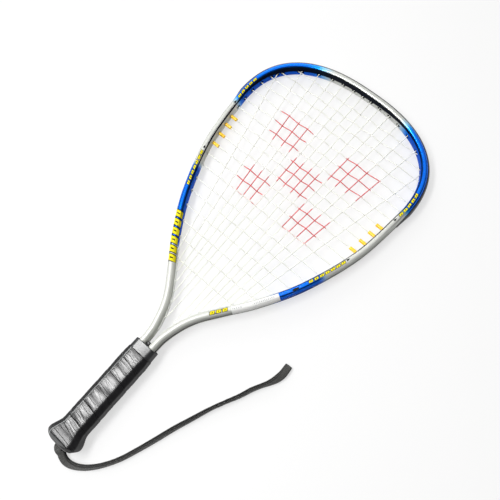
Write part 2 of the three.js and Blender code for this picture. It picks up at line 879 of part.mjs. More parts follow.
// One half of the handle's core, above or below the plane of the strings.
function pallet(upper) {
  const steps = 6;
  const tucked_part = prism([
    [pallet_low_at, eightSided(pallet_tucked)], [step_at + cut_overrun, eightSided(pallet_tucked)],
  ]);
  const places = [step_at, grip_length - pallet_taper];
  for (let i = 1; i <= steps; i += 1) {
    places.push(grip_length - pallet_taper + (pallet_taper * i) / steps);
  }
  const full_part = prism(places.map((x) => [x, eightSided(coreAt(x))]));
  const room = half_tube + seat_gap;
  const depth = half_depth + seat_gap;
  const bevel = tube_bevel;
  const channel = (side) => prism([tube_end_at - seat_gap, grip_length + cut_overrun].map((x) => [x, [
    [side * pair_offset - room, -depth + bevel], [side * pair_offset - room + bevel, -depth],
    [side * pair_offset + room - bevel, -depth], [side * pair_offset + room, -depth + bevel],
    [side * pair_offset + room, depth - bevel], [side * pair_offset + room - bevel, depth],
    [side * pair_offset - room + bevel, depth], [side * pair_offset - room, depth - bevel],
  ]]));
  const wide = pair_offset + half_tube;
  const cavity = block(
    pallet_low_at - cut_overrun, tube_end_at, -wide, wide, -half_depth, half_depth,
  );
  const away = upper ? -1 : 1;
  const keep_low = away < 0 ? -pallet_full.b - cut_overrun : -seat_gap / 2;
  const keep_high = away < 0 ? seat_gap / 2 : pallet_full.b + cut_overrun;
  const other_half = block(
    0, grip_length + cut_overrun, -pallet_full.a - cut_overrun, pallet_full.a + cut_overrun,
    keep_low, keep_high,
  );
  const rivet_holes = rivet_places.flatMap((x) => rivetCutters(x));
  const tack_holes = tackCutters(upper ? 1 : -1);
  const solid = tucked_part.add(full_part).subtract(wasm.Manifold.union([
    channel(1), channel(-1), cavity, other_half, ...rivet_holes, ...tack_holes,
  ]));
  return toGeometry(solid);
}

const rivet_reach = pallet_half_height - seat_gap;

function rivetCutters(x) {
  const r = rivet_radius + seat_gap;
  const head = rivet_head_radius + seat_gap;
  const seat = rivet_reach - rivet_head_height - seat_gap;
  const beyond = pallet_half_height + cut_overrun;
  const p = (z) => new THREE.Vector3(x, 0, z);
  return [
    bar(p(-beyond), p(beyond), r, bush_sides),
    bar(p(seat), p(beyond), head, bush_sides),
    bar(p(-beyond), p(-seat), head, bush_sides),
  ];
}

function rivet(x) {
  const seat = rivet_reach - rivet_head_height;
  const p = (z) => new THREE.Vector3(x, 0, z);
  return toGeometry(
    bar(p(-rivet_reach), p(rivet_reach), rivet_radius, bush_sides)
      .add(bar(p(seat), p(rivet_reach), rivet_head_radius, bush_sides))
      .add(bar(p(-rivet_reach), p(-seat), rivet_head_radius, bush_sides)),
  );
}

// Tacks hold the butt cap's skirt on the pallets, one above and one below.

const skirt_top = coreAt(tack_at).b;

function tackCutters(side) {
  const p = (z) => new THREE.Vector3(tack_at, 0, side * z);
  const head_seat = skirt_top - tack_head_height - 2 * seat_gap;
  return [
    bar(p(skirt_top - tack_length - 2 * seat_gap), p(skirt_top + cut_overrun), tack_radius + seat_gap, bush_sides),
    bar(p(head_seat), p(skirt_top + cut_overrun), tack_head_radius + seat_gap, bush_sides),
  ];
}

function tack(side) {
  const p = (z) => new THREE.Vector3(tack_at, 0, side * z);
  const top = skirt_top - seat_gap;
  return toGeometry(
    bar(p(top - tack_length), p(top), tack_radius, bush_sides)
      .add(bar(p(top - tack_head_height), p(top), tack_head_radius, bush_sides)),
  );
}

function buttCap() {
  const rim = 4;
  const places = [];
  for (let i = 0; i <= rim; i += 1) {
    places.push(cap_full_at * (1 - Math.cos((Math.PI / 2) * (i / rim))));
  }
  const flare_steps = 6;
  for (let i = 1; i <= flare_steps; i += 1) {
    places.push(cap_full_at + (cap_flare * i) / flare_steps);
  }
  places.push(skirt_at);
  const skin = prism(places.map((x) => [x, eightSided(coreAt(x))]));
  const room = eightSided(pallet_tucked, seat_gap);
  const socket = prism([
    [pallet_low_at - seat_gap, room], [skirt_at + cut_overrun, room],
  ]);
  const wide = pair_offset + half_tube;
  const chamber = block(cap_end_wall, pallet_low_at, -wide, wide, -half_depth, half_depth);
  const slot = block(
    -cut_overrun, cap_end_wall + cut_overrun,
    -strap_slot_width / 2, strap_slot_width / 2, -strap_slot_height / 2, strap_slot_height / 2,
  );
  return toGeometry(skin.subtract(wasm.Manifold.union([
    socket, chamber, slot, ...tackCutters(1), ...tackCutters(-1),
  ])));
}

// Point of the wrap over the grip's core. It climbs from right to left over the front. A turn
// has two steps to each of the eight corners, one before it and one after it, so the wrap's
// corners are cut. Under the wrap the corner keeps its full size by a wider base.
const corner_spread_share = 0.05;
const turn_steps = 16;

function wrapPoint(x, step, grow) {
  const outline = eightSided(coreAt(x), grow);
  const corner = Math.floor(step / 2) % 8;
  const here = outline[corner];
  const other = outline[(corner + (step % 2 === 0 ? 7 : 1)) % 8];
  const share = corner_spread_share;
  return new THREE.Vector3(x, -mix(here[0], other[0], share), mix(here[1], other[1], share));
}

// How far the core's bevels rise over the straight line between two places on them.
function rise(low, high) {
  const bevel = (x) => (coreAt(x).a + coreAt(x).b) / Math.SQRT2;
  let most = 0;
  for (let i = 1; i < turn_steps; i += 1) {
    const share = i / turn_steps;
    const straight = mix(bevel(low), bevel(high), share);
    most = Math.max(most, bevel(mix(low, high, share)) - straight);
  }
  return most;
}

// Grip tape: one band wound from the butt to the finishing tape. Each ring is the band's
// section at one step of the turn, and the ends narrow where the band meets the two edges.
function gripTape() {
  const least = 2 * tape_edge_round + tape_seam;
  const pitch = (tape_high_at - tape_low_at - 2 * least - tape_seam) / tape_turns;
  const seam = (step) => tape_low_at + least + tape_seam + (pitch * step) / turn_steps;
  const rings = [];
  const edges = [];
  const total = (tape_turns + 1) * turn_steps;
  for (let step = 0; step <= total; step += 1) {
    const high = Math.min(seam(step) - tape_seam, tape_high_at);
    const low = step < turn_steps ? tape_low_at : seam(step - turn_steps);
    const middle = (low + high) / 2;
    edges.push([low, high]);
    const base = tape_base + Math.max(rise(low, middle), rise(middle, high));
    const top = tape_base + tape_thickness;
    const r = tape_edge_round;
    rings.push([
      wrapPoint(low, step, base), wrapPoint(middle, step, base), wrapPoint(high, step, base),
      wrapPoint(high, step, top - r), wrapPoint(high - r, step, top),
      wrapPoint(middle, step, top),
      wrapPoint(low + r, step, top), wrapPoint(low, step, top - r),
    ]);
  }
  let least_gap = Infinity;
  for (let step = turn_steps; step <= total; step += 1) {
    least_gap = Math.min(least_gap, edges[step][0] - edges[step - turn_steps][1]);
  }
  console.log(`grip tape: least gap between turns ${least_gap.toFixed(2)} mm`);
  return loft(rings);
}

function finishingTape() {
  const places = [0, 0.5, 1].map((share) => mix(finish_at, grip_length - seat_gap, share));
  const outer = prism(places.map((x) => [x, eightSided(coreAt(x), seat_gap + finish_thickness)]));
  const inner = prism([
    finish_at - cut_overrun, ...places, grip_length + cut_overrun,
  ].map((x) => [x, eightSided(coreAt(x), seat_gap)]));
  return toGeometry(outer.subtract(inner));
}

// Small plug that closes the gap between the tubes where they enter the grip.
function throatPlug() {
  const half = pair_offset - half_tube - seat_gap;
  const base = grip_length + seat_gap;
  const shape = (share) => {
    const h = (plug_height / 2) * share;
    return [[half * share, -h], [half * share, h], [-half * share, h], [-half * share, -h]];
  };
  return loft([[0, 1], [0.6, 0.95], [1, 0.6]].map(([run, share]) => (
    ringAt(base + run * plug_length, shape(share))
  )));
}

// Tether parts in the racket's own place: the knot behind the cap's end wall.
function tetherKnot() {
  const geometry = new THREE.SphereGeometry(1, 12, 8);
  geometry.scale(knot_length / 2, knot_radius, knot_radius - seat_gap);
  geometry.translate(cap_end_wall + seat_gap + knot_length / 2, 0, 0);
  return toGeometry(toSolid(geometry));
}

// The doubled strap along its route.
function tetherLoop() {
  const curve = new THREE.CatmullRomCurve3(
    tether_route.map(([x, y, z]) => new THREE.Vector3(x, y, z)), false, 'centripetal',
  );
  return tube(curve, strap_steps, strap_sides, strap_diameter / 2);
}

// Materials

const finish = (color, roughness, metalness) => new THREE.MeshStandardMaterial({
  color, roughness, metalness,
});
const silver_lacquer = finish('#b9c3c9', 0.25, 0.85);
const black_nylon = finish('#17181a', 0.5, 0);
const yellow_nylon = finish('#f2b900', 0.4, 0);
const clear_nylon = finish('#e4e6e0', 0.35, 0);
const natural_string = finish('#ecebe2', 0.3, 0);
const foam_core = finish('#4a4c4f', 0.8, 0);
const steel = finish('#9aa0a4', 0.35, 1);
const grip_black = finish('#1b1c1f', 0.35, 0);
const vinyl_black = finish('#2a2b2e', 0.45, 0);
const paper = finish('#f4f4f0', 0.8, 0);
const braid_black = finish('#1f1f1e', 0.85, 0);

// Assembly

const racket = new THREE.Group();

function place(name, geometry, material, group = racket) {
  const mesh = new THREE.Mesh(geometry, material);
  mesh.name = name;
  group.add(mesh);
  return mesh;
}

place('main_string', mainString(), natural_string);
const cross = crossString();
place('cross_string', cross.geometry, natural_string);
place('frame_tube', frameTube(), silver_lacquer);
place('bumper_guard', bumperGuard(), black_nylon);

cross.rows.forEach(({ level, left, right }) => {
  if (left.kind === 'slot') {
    return;
  }
  const sleeved = left.kind === 'sleeve';
  const radius = sleeved ? sleeve_radius : eyelet_radius;
  const reach = sleeved ? sleeve_reach : eyelet_reach;
  const number = sleeved ? level - sleeve_first + 1 : level + 1;
  const word = sleeved ? 'string_sleeve' : 'cross_eyelet';
  const material = sleeved ? yellow_nylon : clear_nylon;
  place(`${word}_left_${number}`, bushOf(left, radius, reach), material);
  place(`${word}_right_${number}`, bushOf(right, radius, reach), material);
});

place('main_eyelet_left', bushOf(main_lines[0].low, eyelet_radius, eyelet_reach), clear_nylon);
place('main_eyelet_right', bushOf(main_lines.at(-1).low, eyelet_radius, eyelet_reach), clear_nylon);
place('throat_strip_left', throatStrip(true), clear_nylon);
place('throat_strip_right', throatStrip(false), clear_nylon);
place('price_label', priceLabel(), paper);

place('pallet_front', pallet(true), foam_core);
place('pallet_back', pallet(false), foam_core);
rivet_places.forEach((x, i) => place(`pallet_rivet_${i + 1}`, rivet(x), steel));
place('butt_cap', buttCap(), black_nylon);
place('cap_tack_front', tack(1), steel);
place('cap_tack_back', tack(-1), steel);
const wrap = place('grip_tape', gripTape(), grip_black);
place('finishing_tape', finishingTape(), vinyl_black);
place('throat_plug', throatPlug(), black_nylon);
place('tether_knot', tetherKnot(), braid_black);

// The racket lies on the flare of its butt and on the underside of its crown.
const butt_reach = -new THREE.Box3().setFromObject(wrap, true).min.z;
const lean = Math.atan2(butt_reach - half_depth, tip_at - cap_full_at);
racket.rotation.y = lean;
const box = new THREE.Box3().setFromObject(racket, true);
racket.position.set(-(box.min.x + box.max.x) / 2, 0, -box.min.z);

const scene = new THREE.Group();
scene.add(racket);
place('tether_loop', tetherLoop(), braid_black, scene).position.x = racket.position.x;

export default scene;
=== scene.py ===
"""Looks of a racquetball racket: a strung aluminium hoop, a wound grip and a wrist tether."""

import logging
import math
from collections.abc import Callable
from dataclasses import astuple, dataclass
from enum import Enum

import bpy
from bpy.types import Material, NodeSocket, Object
from mathutils import Matrix, Vector, noise
from mathutils.kdtree import KDTree


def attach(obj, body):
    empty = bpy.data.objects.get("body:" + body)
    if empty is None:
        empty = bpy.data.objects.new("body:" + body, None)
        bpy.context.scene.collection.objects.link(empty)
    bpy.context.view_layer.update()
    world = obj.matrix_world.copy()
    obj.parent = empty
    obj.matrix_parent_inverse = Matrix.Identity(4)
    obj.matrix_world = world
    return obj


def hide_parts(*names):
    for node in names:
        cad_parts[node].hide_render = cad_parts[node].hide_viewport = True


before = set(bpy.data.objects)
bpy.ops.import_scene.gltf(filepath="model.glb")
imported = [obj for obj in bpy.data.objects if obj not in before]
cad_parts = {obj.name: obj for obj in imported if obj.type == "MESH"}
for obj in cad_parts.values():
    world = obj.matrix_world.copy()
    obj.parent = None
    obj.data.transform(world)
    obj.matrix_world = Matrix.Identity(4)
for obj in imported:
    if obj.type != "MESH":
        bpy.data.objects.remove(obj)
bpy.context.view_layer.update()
LOG = logging.getLogger("racket")

# The racket is drawn with its butt at x = 0, its tip towards +X, its strings in the plane z = 0
# and its left side towards +Y. It lies down on the flare of its butt and on its crown.
LEAN = 0.0127616
BUTT_PLACE = Vector((-0.2794345, 0.0, 0.0170777))
LAID = Matrix.Translation(BUTT_PLACE) @ Matrix.Rotation(LEAN, 4, "Y")
UP = Vector((0.0, 0.0, 1.0))
CORNERS = ((1, -1), (1, 1), (-1, 1), (-1, -1))
# How far off a point may be that is tested for its place.
NEAR = 1e-5


def mix(a: float, b: float, share: float) -> float:
    """Value at a share of the way from a to b."""
    return a + (b - a) * share


def smooth(share: float) -> float:
    """Share eased at both ends and held between 0 and 1."""
    t = min(max(share, 0.0), 1.0)
    return t * t * (3 - 2 * t)


def bent(value: float, power: float) -> float:
    """Power of a number's size, with the number's sign."""
    return math.copysign(abs(value) ** power, value)


def arc(start: Vector, corner: Vector, end: Vector, t: float) -> Vector:
    """Point of a curve from start to end that bends towards a corner."""
    return start * (1 - t) ** 2 + corner * (2 * t * (1 - t)) + end * t**2


def arc_ends(before: Vector, here: Vector, after: Vector, radius: float, most: float) -> tuple:
    """Ends of the arc at a corner.

    Args:
        before: Corner before it.
        here: The corner.
        after: Corner after it.
        radius: How far from the corner the arc starts and ends.
        most: Greatest share of a side that the arc may take.

    Returns:
        The start and the end of the arc.
    """
    back, ahead = before - here, after - here
    start = here + back.normalized() * min(radius, back.length * most)
    return start, here + ahead.normalized() * min(radius, ahead.length * most)


def rounded(corners: list, radius: float, steps: int, most: float = 0.48) -> list:
    """Turns the corners of a closed outline into arcs.

    Args:
        corners: Points of the outline as pairs.
        radius: How far from a corner its arc starts, where the sides are long enough.
        steps: Stretches in each arc.
        most: Greatest share of a side that an arc may take.

    Returns:
        The points of the rounded outline.
    """
    points = [Vector(corner) for corner in corners]
    out = []
    for k, here in enumerate(points):
        start, end = arc_ends(points[k - 1], here, points[(k + 1) % len(points)], radius, most)
        out += [tuple(arc(start, here, end, i / steps)) for i in range(steps + 1)]
    return out


@dataclass
class Station:
    """Place on the hoop's centre line, with its direction and outward normal."""

    p: Vector
    t: Vector
    n: Vector
    d: float

    def space(self, out: float, z: float) -> Vector:
        """Point beside the station, out from the hoop's middle and up from the strings."""
        return Vector((self.p.x + self.n.x * out, self.p.y + self.n.y * out, z))


@dataclass
class HoopLine:
    """Centre line of the bent tube, from its left end in the grip round the head to the right."""

    overall_length: float = 0.559
    head_half_width: float = 0.1275
    widest_share: float = 0.7569
    crown_power: float = 2.46
    grip_length: float = 0.1435
    half_tube: float = 0.00475
    tube_end: float = 0.034
    pair_offset: float = 0.0071
    bumper_room: float = 0.0019
    flank_steps: int = 120
    crown_steps: int = 90
    # Places of the flank between the grip and the widest place, as shares of run and spread.
    flank_shares: tuple = (
        ((0, 0), (0.05, 0.006), (0.10, 0.035), (0.15, 0.080), (0.20, 0.150))
        + ((0.28, 0.301), (0.38, 0.491), (0.54, 0.725), (0.76, 0.922), (1, 1))
    )

    def __post_init__(self) -> None:
        """Lays out the stations of the whole line."""
        left = self.half_points()
        points = left + [Vector((p.x, -p.y)) for p in reversed(left[:-1])]
        self.stations = []
        far = 0.0
        for i, p in enumerate(points):
            before = points[max(i - 1, 0)]
            after = points[min(i + 1, len(points) - 1)]
            far += (p - points[i - 1]).length if i else 0.0
            t = (after - before).normalized()
            self.stations.append(Station(p, t, Vector((-t.y, t.x)), far))
        self.length = far
        self.half = self.stations[len(left) - 1].d

    def along(self, share: float) -> float:
        """Distance from the butt of a share of the hoop, from the grip to the tip."""
        return self.grip_length + share * (self.overall_length - self.grip_length)

    def flank_point(self, share: float) -> Vector:
        """Point of the uniform spline between the grip and the widest place.

        Args:
            share: Share of the posts that are passed.

        Returns:
            The point.
        """
        widest = self.along(self.widest_share)
        run = widest - self.grip_length
        spread = self.head_half_width - self.pair_offset
        posts = [
            Vector((self.grip_length + a * run, self.pair_offset + b * spread))
            for a, b in self.flank_shares
        ]
        place = share * (len(posts) - 1)
        i = min(int(place), len(posts) - 2)
        t = place - i
        a, b = posts[i], posts[i + 1]
        start = (b - posts[max(i - 1, 0)]) / 2
        end = (posts[min(i + 2, len(posts) - 1)] - a) / 2
        bend = (2 * a - 2 * b + start + end) * t**3
        return bend + (-3 * a + 3 * b - 2 * start - end) * t**2 + start * t + a

    def half_points(self) -> list:
        """Points from the left tube end to the tip.

        Returns:
            The points.
        """
        points = [Vector((self.tube_end, self.pair_offset))]
        points += [self.flank_point(i / self.flank_steps) for i in range(self.flank_steps + 1)]
        widest = self.along(self.widest_share)
        tip = self.overall_length - self.bumper_room - self.half_tube
        power = 2 / self.crown_power
        for i in range(1, self.crown_steps + 1):
            turn = math.pi / 2 * i / self.crown_steps
            x = widest + (tip - widest) * math.sin(turn) ** power
            y = self.head_half_width * max(math.cos(turn), 0.0) ** power
            points.append(Vector((x, y)))
        return points

    def at(self, distance: float) -> Station:
        """Station at a distance along the line.

        Args:
            distance: Distance from the left end.

        Returns:
            The station.
        """
        d = min(max(distance, 0.0), self.length)
        low, high = 0, len(self.stations) - 1
        while high - low > 1:
            middle = (low + high) // 2
            if self.stations[middle].d < d:
                low = middle
            else:
                high = middle
        a, b = self.stations[low], self.stations[high]
        share = (d - a.d) / (b.d - a.d)
        t = a.t.lerp(b.t, share).normalized()
        return Station(a.p.lerp(b.p, share), t, Vector((-t.y, t.x)), d)

    def between(self, start: float, end: float) -> list:
        """Stations between two distances, with both ends."""
        inner = [s for s in self.stations if start < s.d < end]
        return [self.at(start), *inner, self.at(end)]

    def side_at(self, x: float, left: bool) -> float:
        """Distance along the line of the place on one side at a given x.

        Args:
            x: Distance from the butt.
            left: Whether it is on the left side.

        Returns:
            The distance.
        """
        i = next(k for k, s in enumerate(self.stations) if s.p.x >= x)
        a, b = self.stations[i - 1], self.stations[i]
        d = mix(a.d, b.d, (x - a.p.x) / (b.p.x - a.p.x))
        return d if left else self.length - d

    def meet(self, origin: Vector, way: Vector, beside: float) -> float:
        """Distance along the line at which a ray crosses it.

        Args:
            origin: Start of the ray.
            way: Direction of the ray.
            beside: Offset of the crossed line from the centre line, outwards.

        Returns:
            The distance of the nearest crossing ahead.
        """
        nearest, found = math.inf, 0.0
        last = None
        for s in self.stations:
            spot = s.p + s.n * beside - origin
            side = way.x * spot.y - way.y * spot.x
            ahead = spot.dot(way)
            crossed = last is not None and side * last[0] <= 0 and side != last[0]
            if crossed and 0 < ahead < nearest:
                nearest = ahead
                found = mix(last[1], s.d, last[0] / (last[0] - side))
            last = (side, s.d)
        return found

    def room(self, point: Vector) -> float:
        """Distance of a point from the line."""
        return min((s.p - point).length for s in self.stations)


LINE = HoopLine()


def swept(outline: list, stations: list) -> list:
    """Rows of points of an outline, given as out and up, that is led along stations."""
    return [[s.space(out, z) for out, z in outline] for s in stations]


class Bench:
    """Modelling steps that several pieces share."""

    @staticmethod
    def clear() -> None:
        """Leaves object mode and deselects everything."""
        if bpy.context.object and bpy.context.object.mode != "OBJECT":
            bpy.ops.object.mode_set(mode="OBJECT")
        bpy.ops.object.select_all(action="DESELECT")

    @staticmethod
    def take(piece: Object) -> None:
        """Makes a piece the only selected and the active one.

        Args:
            piece: The piece.
        """
        Bench.clear()
        piece.select_set(True)
        bpy.context.view_layer.objects.active = piece

    @staticmethod
    def mesh(name: str, points: list, faces: list) -> Object:
        """Makes an object in the scene from points and faces.

        Args:
            name: Its name.
            points: Its points.
            faces: Point numbers of each face.

        Returns:
            The object.
        """
        data = bpy.data.meshes.new(name)
        data.from_pydata([tuple(p) for p in points], [], faces)
        data.update()
        piece = bpy.data.objects.new(name, data)
        bpy.context.scene.collection.objects.link(piece)
        return piece

    @staticmethod
    def loft(name: str, rings: list, place: Matrix = LAID, band: bool = False) -> Object:
        """Closed body through rows of points.

        Args:
            name: Name of the piece.
            rings: Rows with equally many points each, in the racket's own place.
            place: Where the body is put.
            band: Whether the last row joins the first, in place of two end faces.

        Returns:
            The body, with its faces outwards.
        """
        count, rows = len(rings[0]), len(rings)
        faces = []
        for i in range(rows if band else rows - 1):
            low, high = i * count, (i + 1) % rows * count
            for k in range(count):
                side = (k + 1) % count
                faces.append((low + k, low + side, high + side, high + k))
        if not band:
            faces.append(tuple(reversed(range(count))))
            faces.append(tuple(range((rows - 1) * count, rows * count)))
        piece = Bench.mesh(name, [place @ p for ring in rings for p in ring], faces)
        Bench.take(piece)
        bpy.ops.object.mode_set(mode="EDIT")
        bpy.ops.mesh.select_all(action="SELECT")
        bpy.ops.mesh.normals_make_consistent(inside=False)
        bpy.ops.object.mode_set(mode="OBJECT")
        return piece

    @staticmethod
    def tube(name: str, path: list, radius: float, sides: int) -> Object:
        """Round bar along a path in the racket's own place, without twist.

        Args:
            name: Name of the piece.
            path: Points of its middle line.
            radius: Its radius.
            sides: Its number of sides.

        Returns:
            The bar.
        """
        turns = [2 * math.pi * k / sides for k in range(sides)]
        rings = []
        across = None
        for i, p in enumerate(path):
            t = (path[min(i + 1, len(path) - 1)] - path[max(i - 1, 0)]).normalized()
            across = UP.cross(t) if across is None else across - t * across.dot(t)
            across = across.normalized()
            other = t.cross(across)
            ways = [across * math.cos(a) + other * math.sin(a) for a in turns]
            rings.append([p + way * radius for way in ways])
        return Bench.loft(name, rings)

    @staticmethod
    def finish(piece: Object, kind: str, **settings) -> None:
        """Adds a modifier and applies it.

        Args:
            piece: The piece.
            kind: Type of the modifier.
            **settings: Properties of the modifier.
        """
        Bench.take(piece)
        modifier = piece.modifiers.new(kind.lower(), kind)
        for key, value in settings.items():
            setattr(modifier, key, value)
        bpy.ops.object.modifier_apply(modifier=modifier.name)

    @staticmethod
    def cut(piece: Object, cutters: list) -> None:
        """Takes cutters that don't meet each other away from a piece.

        Args:
            piece: The piece.
            cutters: The cutters, which are used up.
        """
        tool = Bench.joined(cutters)
        Bench.finish(piece, "BOOLEAN", operation="DIFFERENCE", solver="MANIFOLD", object=tool)
        bpy.data.objects.remove(tool)

    @staticmethod
    def joined(pieces: list) -> Object:
        """Joins pieces into the first of them.

        Args:
            pieces: The pieces.

        Returns:
            The first piece, with the others in it.
        """
        Bench.clear()
        for piece in pieces:
            piece.select_set(True)
        bpy.context.view_layer.objects.active = pieces[0]
        if len(pieces) > 1:
            bpy.ops.object.join()
        return pieces[0]

    @staticmethod
    def bar(start: Vector, end: Vector, radius: float, sides: int = 16) -> Object:
        """Round bar between two points in the racket's own place.

        Args:
            start: One end.
            end: The other end.
            radius: Its radius.
            sides: Its number of sides.

        Returns:
            The bar.
        """
        Bench.clear()
        length = (end - start).length
        bpy.ops.mesh.primitive_cylinder_add(vertices=sides, radius=radius, depth=length)
        piece = bpy.context.object
        turn = (end - start).to_track_quat("Z", "X").to_matrix().to_4x4()
        piece.data.transform(LAID @ Matrix.Translation((start + end) / 2) @ turn)
        return piece

    @staticmethod
    def pick(piece: Object, kind: str, test: Callable) -> None:
        """Goes into edit mode with a choice of edges or faces.

        Args:
            piece: The piece.
            kind: EDGE or FACE.
            test: Tells whether a point passes. All points of what is chosen have to.
        """
        Bench.take(piece)
        bpy.ops.object.mode_set(mode="EDIT")
        bpy.ops.mesh.select_all(action="DESELECT")
        bpy.ops.mesh.select_mode(type=kind)
        bpy.ops.object.mode_set(mode="OBJECT")
        points = piece.data.vertices
        for part in piece.data.edges if kind == "EDGE" else piece.data.polygons:
            part.select = all(test(points[i].co) for i in part.vertices)
        bpy.ops.object.mode_set(mode="EDIT")

    @staticmethod
    def mark(piece: Object, name: str, values: list) -> None:
        """Writes a vector for each point of a piece, which its finish reads."""
        attribute = piece.data.attributes.new(name, "FLOAT_VECTOR", "POINT")
        attribute.data.foreach_set("vector", [x for value in values for x in value])

    @staticmethod
    def settle(piece: Object, degrees: float, material: Material, slot: str, node: str) -> None:
        """Finishes a piece.

        Args:
            piece: The piece.
            degrees: Angle under which faces that meet are shaded as one.
            material: Its material.
            slot: Name of its material slot; not used.
            node: CAD node that it stands for.
        """
        Bench.take(piece)
        bpy.ops.object.shade_smooth_by_angle(angle=math.radians(degrees))
        piece.data.materials.clear()
        piece.data.materials.append(material)
        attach(piece, "root")
        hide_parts(node)
        LOG.info("%s: %d faces", piece.name, len(piece.data.polygons))


class Value:
    """Shader value that Python arithmetic works on."""

    def __init__(self, shades: "Shades", socket: NodeSocket) -> None:
        """Keeps the socket and the material it belongs to."""
        self.shades = shades
        self.socket = socket

    def maths(self, operation: str, *others) -> "Value":
        """Adds a Math node that works on this value and others."""
        inputs = dict(enumerate((self, *others)))
        return self.shades.node("ShaderNodeMath", {"operation": operation}, inputs)

    def __add__(self, other) -> "Value":
        """Sum."""
        return self.maths("ADD", other)

    def __sub__(self, other) -> "Value":
        """Difference."""
        return self.maths("SUBTRACT", other)

    def __rsub__(self, other) -> "Value":
        """Difference from a number."""
        return self * -1.0 + other

    def __mul__(self, other) -> "Value":
        """Product."""
        return self.maths("MULTIPLY", other)

    def __truediv__(self, other) -> "Value":
        """Quotient."""
        return self.maths("DIVIDE", other)

    __radd__ = __add__
    __rmul__ = __mul__

    def fract(self) -> "Value":
        """Fractional part."""
        return self.maths("FRACT")

    def size(self) -> "Value":
        """Size without the sign."""
        return self.maths("ABSOLUTE")

    def wave(self) -> "Value":
        """Sine."""
        return self.maths("SINE")

    def held(self) -> "Value":
        """Held between 0 and 1."""
        return self.maths("MINIMUM", 1.0).maths("MAXIMUM", 0.0)

    def step(self, low: float, high: float) -> "Value":
        """Smooth rise from 0 at low to 1 at high.

        Args:
            low: Where it starts.
            high: Where it ends.

        Returns:
            The rise.
        """
        return self.shades.node(
            "ShaderNodeMapRange",
            {"interpolation_type": "SMOOTHSTEP"},
            {"Value": self, "From Min": low, "From Max": high},
        )

    def band(self, low: float, high: float, fade: float) -> "Value":
        """1 between two values and 0 outside, with fades centred on both."""
        half = fade / 2
        return self.step(low - half, low + half) * (1 - self.step(high - half, high + half))


